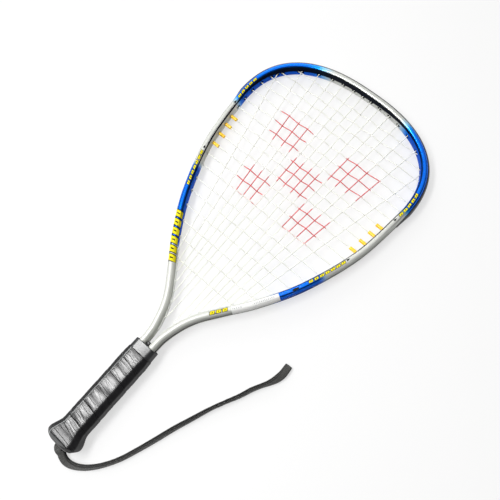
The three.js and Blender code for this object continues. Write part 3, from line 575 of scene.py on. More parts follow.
class Shades:
    """Nodes of one material or of the surroundings."""

    def __init__(self, name: str, sky: bool = False) -> None:
        """Starts a material with a Principled shader on its output, or an empty sky.

        Args:
            name: Its name.
            sky: Whether it is the surroundings.
        """
        self.material = bpy.data.worlds.new(name) if sky else bpy.data.materials.new(name)
        self.material.use_nodes = True
        self.tree = self.material.node_tree
        self.tree.nodes.clear()
        kind = "ShaderNodeOutputWorld" if sky else "ShaderNodeOutputMaterial"
        self.output = self.tree.nodes.new(kind)
        if not sky:
            self.shader = self.tree.nodes.new("ShaderNodeBsdfPrincipled")
            self.show(Value(self, self.shader.outputs[0]))

    def show(self, surface: Value) -> None:
        """Puts a shader on the output."""
        self.feed(self.output.inputs["Surface"], surface)

    def seen(self) -> Value:
        """1 for rays from the eye, from gloss and from glass, which see the white backdrop.

        Returns:
            The share.
        """
        rays = self.node("ShaderNodeLightPath", {}, {}).socket.node
        names = ("Is Camera Ray", "Is Glossy Ray", "Is Transmission Ray")
        eye, gloss, glass = (Value(self, rays.outputs[name]) for name in names)
        return (eye + gloss + glass).held()

    def node(self, kind: str, settings: dict, inputs: dict, output: object = 0) -> Value:
        """Adds a node.

        Args:
            kind: Type of the node.
            settings: Its properties; "stops" holds a colour ramp's places and colours.
            inputs: Values or links of its sockets, by name or number.
            output: Name or number of the socket that is returned.

        Returns:
            The chosen output as a value.
        """
        made = self.tree.nodes.new(kind)
        for key, value in settings.items():
            if key == "stops":
                ramp = made.color_ramp.elements
                for i, (place, colour) in enumerate(value):
                    stop = ramp[i] if i < 2 else ramp.new(place)
                    stop.position = place
                    stop.color = (*colour, 1.0)
            else:
                setattr(made, key, value)
        for key, value in inputs.items():
            self.feed(made.inputs[key], value)
        return Value(self, made.outputs[output])

    def feed(self, socket: NodeSocket, value: object) -> None:
        """Links a value to a socket, or sets the socket to a constant.

        Args:
            socket: The socket.
            value: Link, number or colour.
        """
        if isinstance(value, Value):
            self.tree.links.new(value.socket, socket)
        elif isinstance(value, (tuple, list)) and len(value) == 3 and socket.type == "RGBA":
            socket.default_value = (*value, 1.0)
        else:
            socket.default_value = value

    def set(self, **sockets) -> None:
        """Sets sockets of the Principled shader; an underscore stands for a space."""
        for key, value in sockets.items():
            self.feed(self.shader.inputs[key.replace("_", " ")], value)

    def place(self) -> Value:
        """Object coordinates."""
        return self.node("ShaderNodeTexCoord", {}, {}, "Object")

    def mark(self, name: str) -> Value:
        """Vector that the piece carries at each point."""
        return self.node("ShaderNodeAttribute", {"attribute_name": name}, {}, "Vector")

    def facing(self) -> tuple:
        """The three numbers of the surface's direction."""
        return self.parts(self.node("ShaderNodeNewGeometry", {}, {}, "Normal"))

    def parts(self, vector: Value) -> tuple:
        """The three numbers of a vector."""
        split = self.node("ShaderNodeSeparateXYZ", {}, {0: vector}).socket.node
        return tuple(Value(self, split.outputs[k]) for k in range(3))

    def vector(self, x: object, y: object, z: object) -> Value:
        """Vector of three numbers."""
        return self.node("ShaderNodeCombineXYZ", {}, {0: x, 1: y, 2: z})

    def noise(self, vector: Value, scale: float, detail: float = 2.0, rough: float = 0.5) -> Value:
        """Soft noise between 0 and 1."""
        inputs = {"Vector": vector, "Scale": scale, "Detail": detail, "Roughness": rough}
        return self.node("ShaderNodeTexNoise", {}, inputs)

    def blend(self, share: object, a: object, b: object) -> Value:
        """Colour between a and b."""
        return self.node("ShaderNodeMix", {"data_type": "RGBA"}, {0: share, 6: a, 7: b}, 2)

    def over(self, colour: object, *layers) -> Value:
        """Colour with others laid over it in turn, each given as its share and itself.

        Args:
            colour: The lowest colour.
            *layers: Pairs of share and colour.

        Returns:
            The colour.
        """
        for share, paint in layers:
            colour = self.blend(share, colour, paint)
        return colour

    def ramp(self, value: Value, *stops) -> Value:
        """Colour picked from stops by a value."""
        return self.node("ShaderNodeValToRGB", {"stops": stops}, {0: value})

    def bump(self, height: Value, distance: float) -> None:
        """Raises the surface by a height, in metres for a height of 1."""
        bumped = self.node("ShaderNodeBump", {}, {"Distance": distance, "Height": height})
        self.feed(self.shader.inputs["Normal"], bumped)


@dataclass(frozen=True)
class Lacquer:
    """Silver lacquer that fades into blue, with generic marks where the maker's words were.

    Lengths are in millimetres. The place on the tube is given by u, the distance from the tip
    with the left side positive, by out, the distance across the tube, and by the height z.
    """

    silver: tuple = (0.56, 0.57, 0.54)
    cyan: tuple = (0.26, 0.55, 0.78)
    azure: tuple = (0.010, 0.30, 0.92)
    blue: tuple = (0.0, 0.15, 0.82)
    # Blue darkened on both side walls of the tube: painted shade.
    wall_shade_navy: tuple = (0.0, 0.085, 0.56)
    yellow: tuple = (0.86, 0.74, 0.02)
    ink: tuple = (0.008, 0.009, 0.012)
    # Paler silver of the throat's face: painted highlight, a lit copy of the silver.
    pale: tuple = (0.66, 0.67, 0.63)
    # Darker grey of the throat's sides: painted shade, a shaded copy of the silver.
    edge: tuple = (0.30, 0.305, 0.285)
    scratched: tuple = (0.45, 0.55, 0.62)
    chipped: tuple = (0.015, 0.016, 0.018)
    shaded: tuple = (0.004, 0.006, 0.012)
    # Near-black inside of the tube: painted shade in the bore.
    hollow: tuple = (0.02, 0.021, 0.023)
    roughness: float = 0.24
    # Start, end, pitch, half height, rim and middle of each row of blocks.
    big_rows: tuple = ((359.5, 426, 11.1, 4.5, 0.3, 0.0),)
    small_rows: tuple = (
        (157.5, 194, 7.3, 1.35, 0.5, -0.7),
        (277.5, 327, 7.07, 1.35, 0.5, -0.7),
        (-195, -158, 7.4, 1.35, 0.5, -0.7),
        (-328, -277.5, 7.2, 1.35, 0.5, -0.7),
        (-447, -424.5, 7.5, 1.9, 0.6, -0.5),
    )
    slant: float = 0.35
    # Tip of each arrow and the way in which it points.
    arrow_tips: tuple = ((198.0, 1), (270.0, 1), (-198.0, -1), (-271.5, -1))
    arrow_length: float = 4.6
    arrow_middle: float = -1.0
    dot_middle: float = -2.9

    def blue_share(self, u: Value) -> Value:
        """Share of blue at a distance from the tip.

        Args:
            u: Distance from the tip.

        Returns:
            The share.
        """
        left = u.step(50, 92) * (1 - u.step(187, 205))
        right = u.step(-50, -82) * (1 - u.step(-175, -193))
        flanks = u.band(297, 404, 12) + u.band(-372, -309, 16)
        return (left + right + flanks).held()

    def letters(self, u: Value, out: Value, rows: tuple) -> tuple:
        """Shares of the slanted blocks and of their dark rims in some rows.

        Args:
            u: Distance from the tip.
            out: Distance across.
            rows: The rows.

        Returns:
            The shares of blocks and rims.
        """
        blocks, rims = [], []
        for low, high, pitch, half, rim, middle in rows:
            near = (((u - low + out * self.slant) / pitch).fract() - 0.5).size()
            away = (out - middle).size()
            inside = u.band(low, high, 0.3)
            slit = near.step(0.09, 0.06) * away.step(half * 0.45, half * 0.4)
            block = near.step(0.36, 0.34) * away.step(half, half - 0.25) * inside
            blocks.append(block * (1 - slit))
            whole = half + rim
            rims.append(near.step(0.47, 0.45) * away.step(whole, whole - 0.2) * inside)
        return sum(blocks).held(), sum(rims).held()

    def signs(self, s: Shades, u: Value, out: Value) -> Value:
        """Share of the arrows and of the dots between them.

        Args:
            s: Nodes of the material.
            u: Distance from the tip.
            out: Distance across.

        Returns:
            The share.
        """
        arrows = []
        for tip, way in self.arrow_tips:
            run = (u - tip) * (way / self.arrow_length)
            wide = (out - self.arrow_middle).size()
            arrows.append(run.band(0.0, 1.0, 0.1) * wide.maths("LESS_THAN", run * 1.5))
        rows = u.band(205, 267, 1.0) + u.band(-267, -205, 1.0)
        ticks = ((u * 0.42).fract() - 0.5).size().step(0.34, 0.26)
        broken = s.noise(s.vector(u * 0.9, out * 1.5, 0.0), 1.0, 0.0).step(0.40, 0.46)
        round_dots = (out - self.dot_middle).size().step(0.75, 0.55)
        return sum(arrows) + rows * ticks * broken * round_dots

    def chip(self, s: Shades, u: Value, out: Value, z: Value) -> Value:
        """Share of the one place where the lacquer is chipped off.

        Args:
            s: Nodes of the material.
            u: Distance from the tip.
            out: Distance across.
            z: Height.

        Returns:
            The share.
        """
        ragged = (s.noise(s.vector(u * 0.5, out * 0.8, 3.0), 1.2, 2.0) - 0.5) * 1.6
        room = ((u + 344) / 4.2).maths("POWER", 2.0) + ((out - 0.3) / 1.7).maths("POWER", 2.0)
        return (room + ragged).step(1.0, 0.9) * z.step(8.0, 8.5)

    def scratches(self, s: Shades, u: Value, out: Value, z: Value) -> Value:
        """Share of the scratches round the chip."""
        lines = s.noise(s.vector(u * 0.12, out * 1.6, 7.0), 2.2, 1.0).step(0.66, 0.70)
        return lines * u.band(-364, -336, 8.0) * z.step(6.0, 7.0)

    def crown_shade(self, s: Shades, u: Value, out: Value, z: Value) -> Value:
        """Share of the dark reflections on the inner wall, deepest beside the tip.

        Args:
            s: Nodes of the material.
            u: Distance from the tip.
            out: Distance across.
            z: Height.

        Returns:
            The share.
        """
        around = 1 - (u - 55).size().step(45, 150)
        lower = 6.8 - around * 5.6 + (s.noise(s.vector(u * 0.08, 0.0, 4.0), 1.0) - 0.5) * 1.2
        return out.step(-2.6, -3.0) * (z - lower).step(-0.5, 0.5) * u.size().step(400, 340)

    def make(self) -> Material:
        """Builds the material.

        Returns:
            The material.
        """
        s = Shades("lacquered_aluminium")
        u, out, z = (value * 1000 for value in s.parts(s.mark("hoop")))
        place = s.place()
        blue = (self.blue_share(u) + (s.noise(place, 160.0) - 0.5) * 0.02).held()
        # Both side walls of the tube: on the blue they get painted shade, and they are less
        # metallic and less coated.
        wall = out.size().step(2.7, 3.7)
        # Silver away from the blue, most towards the throat: painted light there, with less metal
        # and less coat.
        throat = (u.size().step(185, 240) * 0.8 + u.size().step(340, 430) * 0.2) * (1 - blue)
        _, _, tilt = s.facing()
        # The throat's silver gets painted shade where its surface turns away from up, more on its
        # outer side, and a painted highlight on its face.
        painted_side_shade = (1 - tilt.size().step(0.0, 0.85)) * (0.25 + out.step(-0.5, 0.5) * 0.75)
        face, side = z.size().step(6.8, 7.2), z.size().step(3.6, 4.0)
        big, big_rim = (share * side for share in self.letters(u, out, self.big_rows))
        small, small_rim = (share * face for share in self.letters(u, out, self.small_rows))
        signs = (self.signs(s, u, out) * face).held()
        chip = self.chip(s, u, out, z)
        shade = self.crown_shade(s, u, out, z)
        # The inside of the tube is painted near-black and dull: painted shade in the bore.
        depth = (out.size() / 4.75).maths("POWER", 2.5) + (z.size() / 10).maths("POWER", 2.5)
        inside = depth.step(0.82, 0.76)
        stops = ((0.0, self.silver), (0.30, self.cyan), (0.60, self.azure), (1.0, self.blue))
        colour = s.over(
            s.ramp(blue, *stops),
            (wall * blue, self.wall_shade_navy),
            (throat, s.blend(painted_side_shade, self.pale, self.edge)),
            (small_rim, self.ink),
            (small, self.yellow),
            (big_rim, self.ink),
            (big, self.yellow),
            (signs, self.ink),
            (self.scratches(s, u, out, z) * 0.55, self.scratched),
            (chip, self.chipped),
            (shade * 0.985, self.shaded),
            (inside, self.hollow),
        )
        dull = (small_rim + signs + big_rim + chip + inside + shade * 0.9).held()
        grain = s.noise(place, 900.0, 3.0)
        s.set(
            Base_Color=colour,
            Metallic=(0.5 + blue * 0.4 - throat * 0.35) * (1 - dull) * (1 - wall * blue * 0.8),
            Roughness=self.roughness + (grain - 0.5) * 0.08 + chip * 0.3 + (1 - blue) * 0.08,
            Specular_IOR_Level=0.0,
            Coat_Weight=(0.10 + blue * 0.15 - throat * 0.07) * (1 - shade) * (1 - wall * 0.85),
            Coat_Roughness=0.08,
        )
        s.bump(s.noise(place, 420.0, 2.0) - chip * 1.5, 0.00004)
        return s.material


@dataclass(frozen=True)
class StringNylon:
    """Natural nylon string, with five stencilled red blocks in the middle of the head."""

    natural: tuple = (0.90, 0.90, 0.84)
    crease: tuple = (0.82, 0.83, 0.74)
    red: tuple = (0.66, 0.022, 0.035)
    middle_x: float = 0.4115
    middle_y: float = -0.0035
    half_length: float = 0.0595
    half_width: float = 0.0690
    widening: float = 0.145

    def make(self) -> Material:
        """Builds the material.

        Returns:
            The material.
        """
        s = Shades("string_nylon")
        place = s.place()
        x, y, _ = s.parts(place)
        from_middle = x - (self.middle_x + BUTT_PLACE.x)
        worn = s.noise(place, 260.0, 2.0)
        ragged = (worn - 0.5) * 0.10
        run = (from_middle / self.half_length + ragged).size()
        across = (y - self.middle_y) / (self.half_width + from_middle * self.widening)
        across = (across + ragged).size()
        end_blocks = run.band(0.34, 1.0, 0.05) * across.band(0.34, 1.0, 0.05)
        centre = run.step(0.37, 0.31) * across.step(0.37, 0.31)
        inked = (end_blocks + centre).held() * (0.70 + worn * 0.5)
        colour = s.blend(s.noise(place, 90.0).step(0.35, 0.75) * 0.5, self.natural, self.crease)
        s.set(
            Base_Color=s.blend(inked.held(), colour, self.red),
            Roughness=0.34,
            Coat_Weight=0.3,
            Coat_Roughness=0.15,
        )
        s.bump(s.noise(place, 1400.0, 1.0), 0.00002)
        return s.material


@dataclass(frozen=True)
class Moulded:
    """Moulded nylon or foam with a fine grain, scuffed in random patches."""

    name: str
    colour: tuple
    other: tuple
    roughness: float
    grain: float
    grain_depth: float
    scuff: float = 0.0
    coat: float = 0.0

    def make(self) -> Material:
        """Builds the material.

        Returns:
            The material.
        """
        s = Shades(self.name)
        place = s.place()
        patch = s.noise(place, 70.0, 3.0)
        colour = s.blend(patch.step(0.35, 0.7), self.colour, self.other)
        if self.scuff:
            lines = s.noise(place, 1500.0, 4.0, 0.7)
            worn = lines.step(0.60, 0.72) * patch.step(0.45, 0.65) * self.scuff
            colour = s.blend(worn, colour, (0.20, 0.20, 0.20))
        s.set(
            Base_Color=colour,
            Roughness=self.roughness + (patch - 0.5) * 0.12,
            Coat_Weight=self.coat,
            Coat_Roughness=0.2,
        )
        s.bump(s.noise(place, self.grain, 2.0), self.grain_depth)
        return s.material


@dataclass(frozen=True)
class Zinc:
    """Zinc-plated steel of the rivets and tacks."""

    colour: tuple = (0.55, 0.56, 0.57)
    dull: tuple = (0.40, 0.41, 0.40)

    def make(self) -> Material:
        """Builds the material.

        Returns:
            The material.
        """
        s = Shades("zinc_steel")
        place = s.place()
        spangle = s.noise(place, 600.0, 3.0)
        colour = s.blend(spangle, self.colour, self.dull)
        s.set(Base_Color=colour, Metallic=1.0, Roughness=0.3 + spangle * 0.15)
        s.bump(s.noise(place, 2500.0), 0.00002)
        return s.material


@dataclass(frozen=True)
class Paper:
    """White paper label with rows of small grey blocks in place of print."""

    white: tuple = (0.86, 0.86, 0.84)
    grey: tuple = (0.22, 0.23, 0.25)
    # Start, end, pitch, middle and half height of each row, in millimetres.
    rows: tuple = (
        (-396, -369, 2.1, 0.2, 1.1),
        (-396, -371, 1.3, 2.6, 0.35),
        (-420, -408, 2.6, 0.4, 1.0),
    )

    def make(self) -> Material:
        """Builds the material.

        Returns:
            The material.
        """
        s = Shades("label_paper")
        u, out, z = (value * 1000 for value in s.parts(s.mark("hoop")))
        fibres = s.noise(s.place(), 1200.0, 3.0)
        marks = []
        for low, high, pitch, middle, half in self.rows:
            bars = ((u / pitch).fract() - 0.5).size().step(0.30, 0.22)
            tall = (out - middle).size().step(half, half - 0.2)
            marks.append(bars * u.band(low, high, 0.3) * tall)
        gaps = s.noise(s.vector(u * 0.8, out * 2.0, 0.0), 1.0, 0.0).step(0.38, 0.42)
        inked = sum(marks).held() * gaps * z.step(9.0, 9.4) * 0.7
        s.set(Base_Color=s.blend(inked, self.white, self.grey), Roughness=0.55 + fibres * 0.15)
        s.bump(fibres, 0.00002)
        return s.material


@dataclass(frozen=True)
class Wrap:
    """Glossy black synthetic leather, creased along its winding."""

    black: tuple = (0.008, 0.008, 0.009)
    worn: tuple = (0.022, 0.022, 0.023)
    # Grey of the painted highlight along the front face's left edge and of the painted glints at
    # the butt's rounded end.
    rim: tuple = (0.42, 0.43, 0.43)
    roughness: float = 0.42

    def make(self) -> Material:
        """Builds the material.

        Returns:
            The material.
        """
        s = Shades("grip_wrap")
        along, across, corner = s.parts(s.mark("winding"))
        patch = s.noise(s.vector(along * 45, (across - along * 0.15) * 150, 9.0), 1.0, 2.0)
        fine = s.noise(s.vector(along * 260, across * 1500, 0.0), 1.0, 2.0)
        _, left, tilt = s.facing()
        butt = 1 - across.step(0.008, 0.026)
        face = tilt.size().step(0.80, 0.95)
        end = (1 - across.step(0.005, 0.014)) * tilt.size().step(0.45, 0.75)
        # Painted highlight: a thin grey line where the front face turns into the left bevel.
        rim = left.band(0.20, 0.46, 0.08) * tilt.step(0.5, 0.6) * (0.3 + patch * 0.7)
        # Painted glints: grey spots on the rounded end at the butt.
        painted_glint_spots = s.noise(s.vector(along * 130, across * 130, 2.0), 1.0, 0.0).step(0.50, 0.62)
        rim = rim + (1 - across.step(0.0060, 0.0085)) * tilt.band(0.74, 0.93, 0.08) * painted_glint_spots * 0.3
        gloss = 0.22 + butt * 0.30 + patch.step(0.36, 0.60) * (0.78 - butt * 0.45)
        s.set(
            Base_Color=s.blend(rim.held(), s.blend(patch, self.black, self.worn), self.rim),
            Roughness=self.roughness + (patch - 0.5) * 0.16,
            Specular_IOR_Level=0.08,
            Coat_Weight=(face + end).held() * gloss,
            Coat_Roughness=0.2,
            Coat_IOR=1.64,
        )
        s.bump(fine + s.noise(s.place(), 700.0, 2.0) * corner, 0.00003)
        return s.material


@dataclass(frozen=True)
class Vinyl:
    """Plain black vinyl of the finishing tape."""

    black: tuple = (0.024, 0.024, 0.026)
    grey: tuple = (0.045, 0.046, 0.048)

    def make(self) -> Material:
        """Builds the material.

        Returns:
            The material.
        """
        s = Shades("finishing_vinyl")
        place = s.place()
        patch = s.noise(place, 120.0, 2.0)
        _, _, tilt = s.facing()
        s.set(
            Base_Color=s.blend(patch, self.black, self.grey),
            Roughness=0.42 + (patch - 0.5) * 0.15,
            Specular_IOR_Level=0.08,
            Coat_Weight=tilt.size().step(0.80, 0.95),
            Coat_Roughness=0.27,
            Coat_IOR=1.65,
        )
        s.bump(s.noise(place, 900.0, 1.0) + patch * 2.0, 0.00003)
        return s.material


@dataclass(frozen=True)
class Braid:
    """Dark grey flat braid of the wrist tether."""

    dark: tuple = (0.008, 0.008, 0.008)
    light: tuple = (0.150, 0.150, 0.140)
    pitch: float = 0.0013

    def make(self) -> Material:
        """Builds the material.

        Returns:
            The material.
        """
        s = Shades("tether_braid")
        run, across, _ = s.parts(s.mark("lace"))
        turn = 2 * math.pi / self.pitch
        one, other = run + across, run - across
        over = ((one * turn).wave() * (other * turn).wave() * 0.5 + 0.5).held()
        fine = turn * 4
        threads = (other * fine).wave() * over + (one * fine).wave() * (1 - over)
        fuzz = s.noise(s.place(), 1600.0, 3.0, 0.7)
        share = (over * 0.55 + threads * 0.12 + (fuzz - 0.5) * 1.3 + 0.1).held()
        # The braid is darker towards its two edges: painted shade where it turns away from the
        # light.
        share = share * (1 - across.size().step(0.0022, 0.0042) * 0.8)
        s.set(
            Base_Color=s.blend(share, self.dark, self.light),
            Roughness=0.78,
            Sheen_Weight=0.25,
            Sheen_Roughness=0.5,
        )
        s.bump(over * 0.7 + threads * 0.15 + fuzz * 0.3, 0.00025)
        return s.material


class Entry(Enum):
    """How a string goes through the frame's inner wall, with the radius of a round hole there."""

    SLOT = 0.0
    SLEEVE = 0.0023
    EYELET = 0.0019
    STRIP = 0.0011


@dataclass
class Passage:
    """Way of a string's end through the frame."""

    entry: Entry
    height: float
    way: Vector
    crossing: Station
    inner: Station
    outer: Station
    wall: Vector
    turned: bool

    def way_out(self) -> Vector:
        """Direction outwards as a space vector."""
        return self.way.to_3d()

    def wall_point(self) -> Vector:
        """Place at which the string meets the frame's inner wall."""
        return Vector((*self.wall, self.height))


@dataclass
class StringBed:
    """Both strings: 14 mains that fan out towards the tip and 19 crosses woven through them."""

    radius: float = 0.00065
    gap: float = 0.0003
    groove_depth: float = 0.0022
    bend: float = 0.0007
    bed_low_share: float = 0.2371
    bed_high_share: float = 0.9223
    edge_zone: float = 0.005
    sleeve_reach: float = 0.0092
    eyelet_reach: float = 0.0016
    strip_thickness: float = 0.001
    sides: int = 8
    # Crosses below the first sleeve run through eyelets, those from the first slot on bare.
    first_sleeve: int = 8
    first_slot: int = 12
    tail_diameters: float = 4
    climb: tuple = (0.0, 0.25, 0.5, 0.75)
    # Places of the crosses along the bed, and of the mains across half the head at both ends.
    cross_shares: tuple = (
        (0, 0.076, 0.138, 0.202, 0.265, 0.322, 0.385, 0.440, 0.493, 0.544)
        + (0.595, 0.640, 0.694, 0.746, 0.798, 0.853, 0.902, 0.948, 1)
    )
    main_low_shares: tuple = (0.045, 0.107, 0.164, 0.219, 0.274, 0.327, 0.386)
    main_high_shares: tuple = (0.049, 0.1545, 0.2745, 0.3945, 0.5357, 0.700, 0.917)

    def __post_init__(self) -> None:
        """Finds the lines of the strings and their ways through the frame."""
        self.lane = self.radius + self.gap
        self.weave = 2 * self.radius + self.gap
        self.run_out = LINE.half_tube - self.groove_depth + self.radius + self.gap
        low = LINE.along(self.bed_low_share)
        high = LINE.along(self.bed_high_share)
        self.levels = [mix(low, high, share) for share in self.cross_shares]
        self.mains = []
        for side in (LINE.head_half_width, -LINE.head_half_width):
            for near, far in zip(self.main_low_shares, self.main_high_shares):
                a, b = Vector((low, side * near)), Vector((high, side * far))
                self.mains.append((a, (b - a).normalized()))
        self.mains.sort(key=lambda main: -main[0].y)
        middle = (low + high) / 2
        self.main_ends = []
        for row, (a, way) in enumerate(self.mains):
            start = a + way * ((middle - a.x) / way.x)
            outermost = row in (0, len(self.mains) - 1)
            if outermost:
                foot = self.straight(start, -way, Entry.EYELET, self.lane)
            else:
                foot = self.square(start, -way)
            self.main_ends.append((foot, self.straight(start, way, Entry.SLOT, self.lane)))
        self.cross_ends = []
        for level, x in enumerate(self.levels):
            entry = Entry.SLEEVE if level < self.first_slot else Entry.SLOT
            entry = Entry.EYELET if level < self.first_sleeve else entry
            ways = (Vector((0.0, side)) for side in (1.0, -1.0))
            start = Vector((x, 0.0))
            self.cross_ends.append([self.straight(start, w, entry, -self.lane) for w in ways])
        self.crossings = [self.crossings_of(main) for main in self.mains]

    def straight(self, start: Vector, way: Vector, entry: Entry, height: float) -> Passage:
        """Passage straight on along the string.

        Args:
            start: Point inside the head.
            way: Direction outwards.
            entry: Kind of passage.
            height: Height over the strings' plane.

        Returns:
            The passage.
        """
        crossing = LINE.at(LINE.meet(start, way, 0.0))
        slant = way.dot(crossing.t) / way.dot(crossing.n)
        outer = LINE.at(crossing.d + slant * self.run_out)
        inner = LINE.at(crossing.d - slant * LINE.half_tube)
        wall = crossing.p - way * (LINE.half_tube / way.dot(crossing.n))
        return Passage(entry, height, way, crossing, inner, outer, wall, False)

    def square(self, start: Vector, way: Vector) -> Passage:
        """Passage square through the tube, for a string that comes in at a slant.

        Args:
            start: Point inside the head.
            way: Direction in which the string comes.

        Returns:
            The passage.
        """
        reach = LINE.half_tube + self.gap + self.strip_thickness + 2 * self.radius
        s = LINE.at(LINE.meet(start, way, -reach))
        wall = s.p - s.n * reach
        return Passage(Entry.STRIP, self.lane, s.n.copy(), s, s, s, wall, True)

    def crossings_of(self, main: tuple) -> list:
        """Level, place and room to the frame of each cross string that a main string meets.

        Args:
            main: A point of the main string and its direction.

        Returns:
            The crossings.
        """
        a, way = main
        found = []
        for level, x in enumerate(self.levels):
            p = a + way * ((x - a.x) / way.x)
            room = LINE.room(p) - LINE.half_tube
            if room > 2 * self.radius and abs(p.y) < abs(self.cross_ends[level][0].crossing.p.y):
                found.append((level, p, room))
        return found

    def mouth(self, passage: Passage) -> Vector:
        """Place where a string passes its bush's mouth, or the wall where there is none.

        Args:
            passage: The passage.

        Returns:
            The place.
        """
        reach = {Entry.SLEEVE: self.sleeve_reach, Entry.EYELET: self.eyelet_reach}
        clear = reach.get(passage.entry, -2 * self.gap) + 2 * self.gap
        return passage.wall_point() - passage.way_out() * clear

    def turn(self, corner: Vector, start: Vector, end: Vector) -> list:
        """Points of a rounded turn at a corner.

        Args:
            corner: The corner.
            start: Direction before it.
            end: Direction after it.

        Returns:
            The points.
        """
        a = corner - start * self.bend
        b = corner + end * self.bend
        return [a, (a + b + corner * 2) / 4, b]

    def leave(self, passage: Passage, ahead: Vector, along: float) -> list:
        """Way from the net out through a passage and round into the groove.

        Args:
            passage: The passage.
            ahead: Direction in which the string comes to it.
            along: 1 or -1 for the direction in which it goes on in the groove.

        Returns:
            The points of the way.
        """
        mouth, out = self.mouth(passage), passage.way_out()
        corner = passage.outer.space(self.run_out, passage.height)
        path = self.turn(mouth, ahead, out) if passage.turned else [mouth]
        return path + self.turn(corner, out, passage.outer.t.to_3d() * along)

    def run(self, start: Passage, end: Passage) -> list:
        """Points along the groove from one passage to the next.

        Args:
            start: Passage that is left.
            end: Passage that is reached.

        Returns:
            The points.
        """
        low = min(start.outer.d, end.outer.d) + 2 * self.bend
        high = max(start.outer.d, end.outer.d) - 2 * self.bend
        over = [s.space(self.run_out, start.height) for s in LINE.stations if low < s.d < high]
        return over[::-1] if start.outer.d > end.outer.d else over

    def tail(self, passage: Passage, along: float) -> Vector:
        """Loose end of a few diameters in the groove."""
        end = LINE.at(passage.outer.d + along * self.tail_diameters * 2 * self.radius)
        return end.space(self.run_out, passage.height)

    def wind(self, ends: list, rows: list) -> list:
        """Joins the rows of one string to a path through the frame.

        Args:
            ends: The passages at the two ends of each row.
            rows: Direction of each row, 1 or -1 for the way along the groove before it and
                after it, and its points, as the string runs through it.

        Returns:
            The points of the path.
        """
        path = [self.tail(ends[0][0], -1)]
        for i, (ahead, come, go, points) in enumerate(rows):
            start, end = ends[i] if i % 2 == 0 else ends[i][::-1]
            path += reversed(self.leave(start, -ahead, -come))
            path += points
            path += self.leave(end, ahead, go)
            if i < len(rows) - 1:
                path += self.run(end, ends[i + 1][1 if i % 2 == 0 else 0])
        return path + [self.tail(end, go)]

    def main_path(self) -> list:
        """Points of the main string.

        Returns:
            The points.
        """
        rows = []
        for row, (_, way) in enumerate(self.mains):
            upward = row % 2 == 0
            meets = self.crossings[row] if upward else self.crossings[row][::-1]
            free = [c for c in meets if c[2] > self.edge_zone]
            points = []
            for c in meets:
                if c[2] <= self.edge_zone or c is free[0] or c is free[-1]:
                    z = 0.0 if c[2] > self.edge_zone else self.lane
                    points.append(Vector((*c[1], z)))
            rows.append((way.to_3d() * (1 if upward else -1), 1, 1, points))
        return self.wind(self.main_ends, rows)

    def cross_path(self) -> list:
        """Points of the cross string, eased over and under the mains.

        Returns:
            The points.
        """
        rows = []
        for level in range(len(self.levels)):
            side = -1.0 if level % 2 == 0 else 1.0
            meets = []
            for row, crossings in enumerate(self.crossings):
                for met, place, room in crossings:
                    if met == level:
                        over = self.weave if (row + level) % 2 == 0 else -self.weave
                        z = over if room > self.edge_zone else -self.lane
                        meets.append(Vector((*place, z)))
            meets.sort(key=lambda p: p.y * side)
            points = []
            for a, b in zip(meets, meets[1:]):
                for share in self.climb:
                    p = a.lerp(b, share)
                    p.z = mix(a.z, b.z, smooth(share))
                    points.append(p)
            rows.append((Vector((0.0, side, 0.0)), -side, side, points + [meets[-1]]))
        return self.wind(self.cross_ends, rows)

    def passages(self) -> list:
        """All ways through the frame."""
        ends = [*self.main_ends, *self.cross_ends]
        return [passage for pair in ends for passage in pair]

    def build(self, material: Material) -> None:
        """Makes both strings.

        Args:
            material: Their material.
        """
        for node, path in (("main_string", self.main_path()), ("cross_string", self.cross_path())):
            piece = Bench.tube(f"{node}s", path, self.radius, self.sides)
            Bench.settle(piece, 60, material, "string_nylon", node)


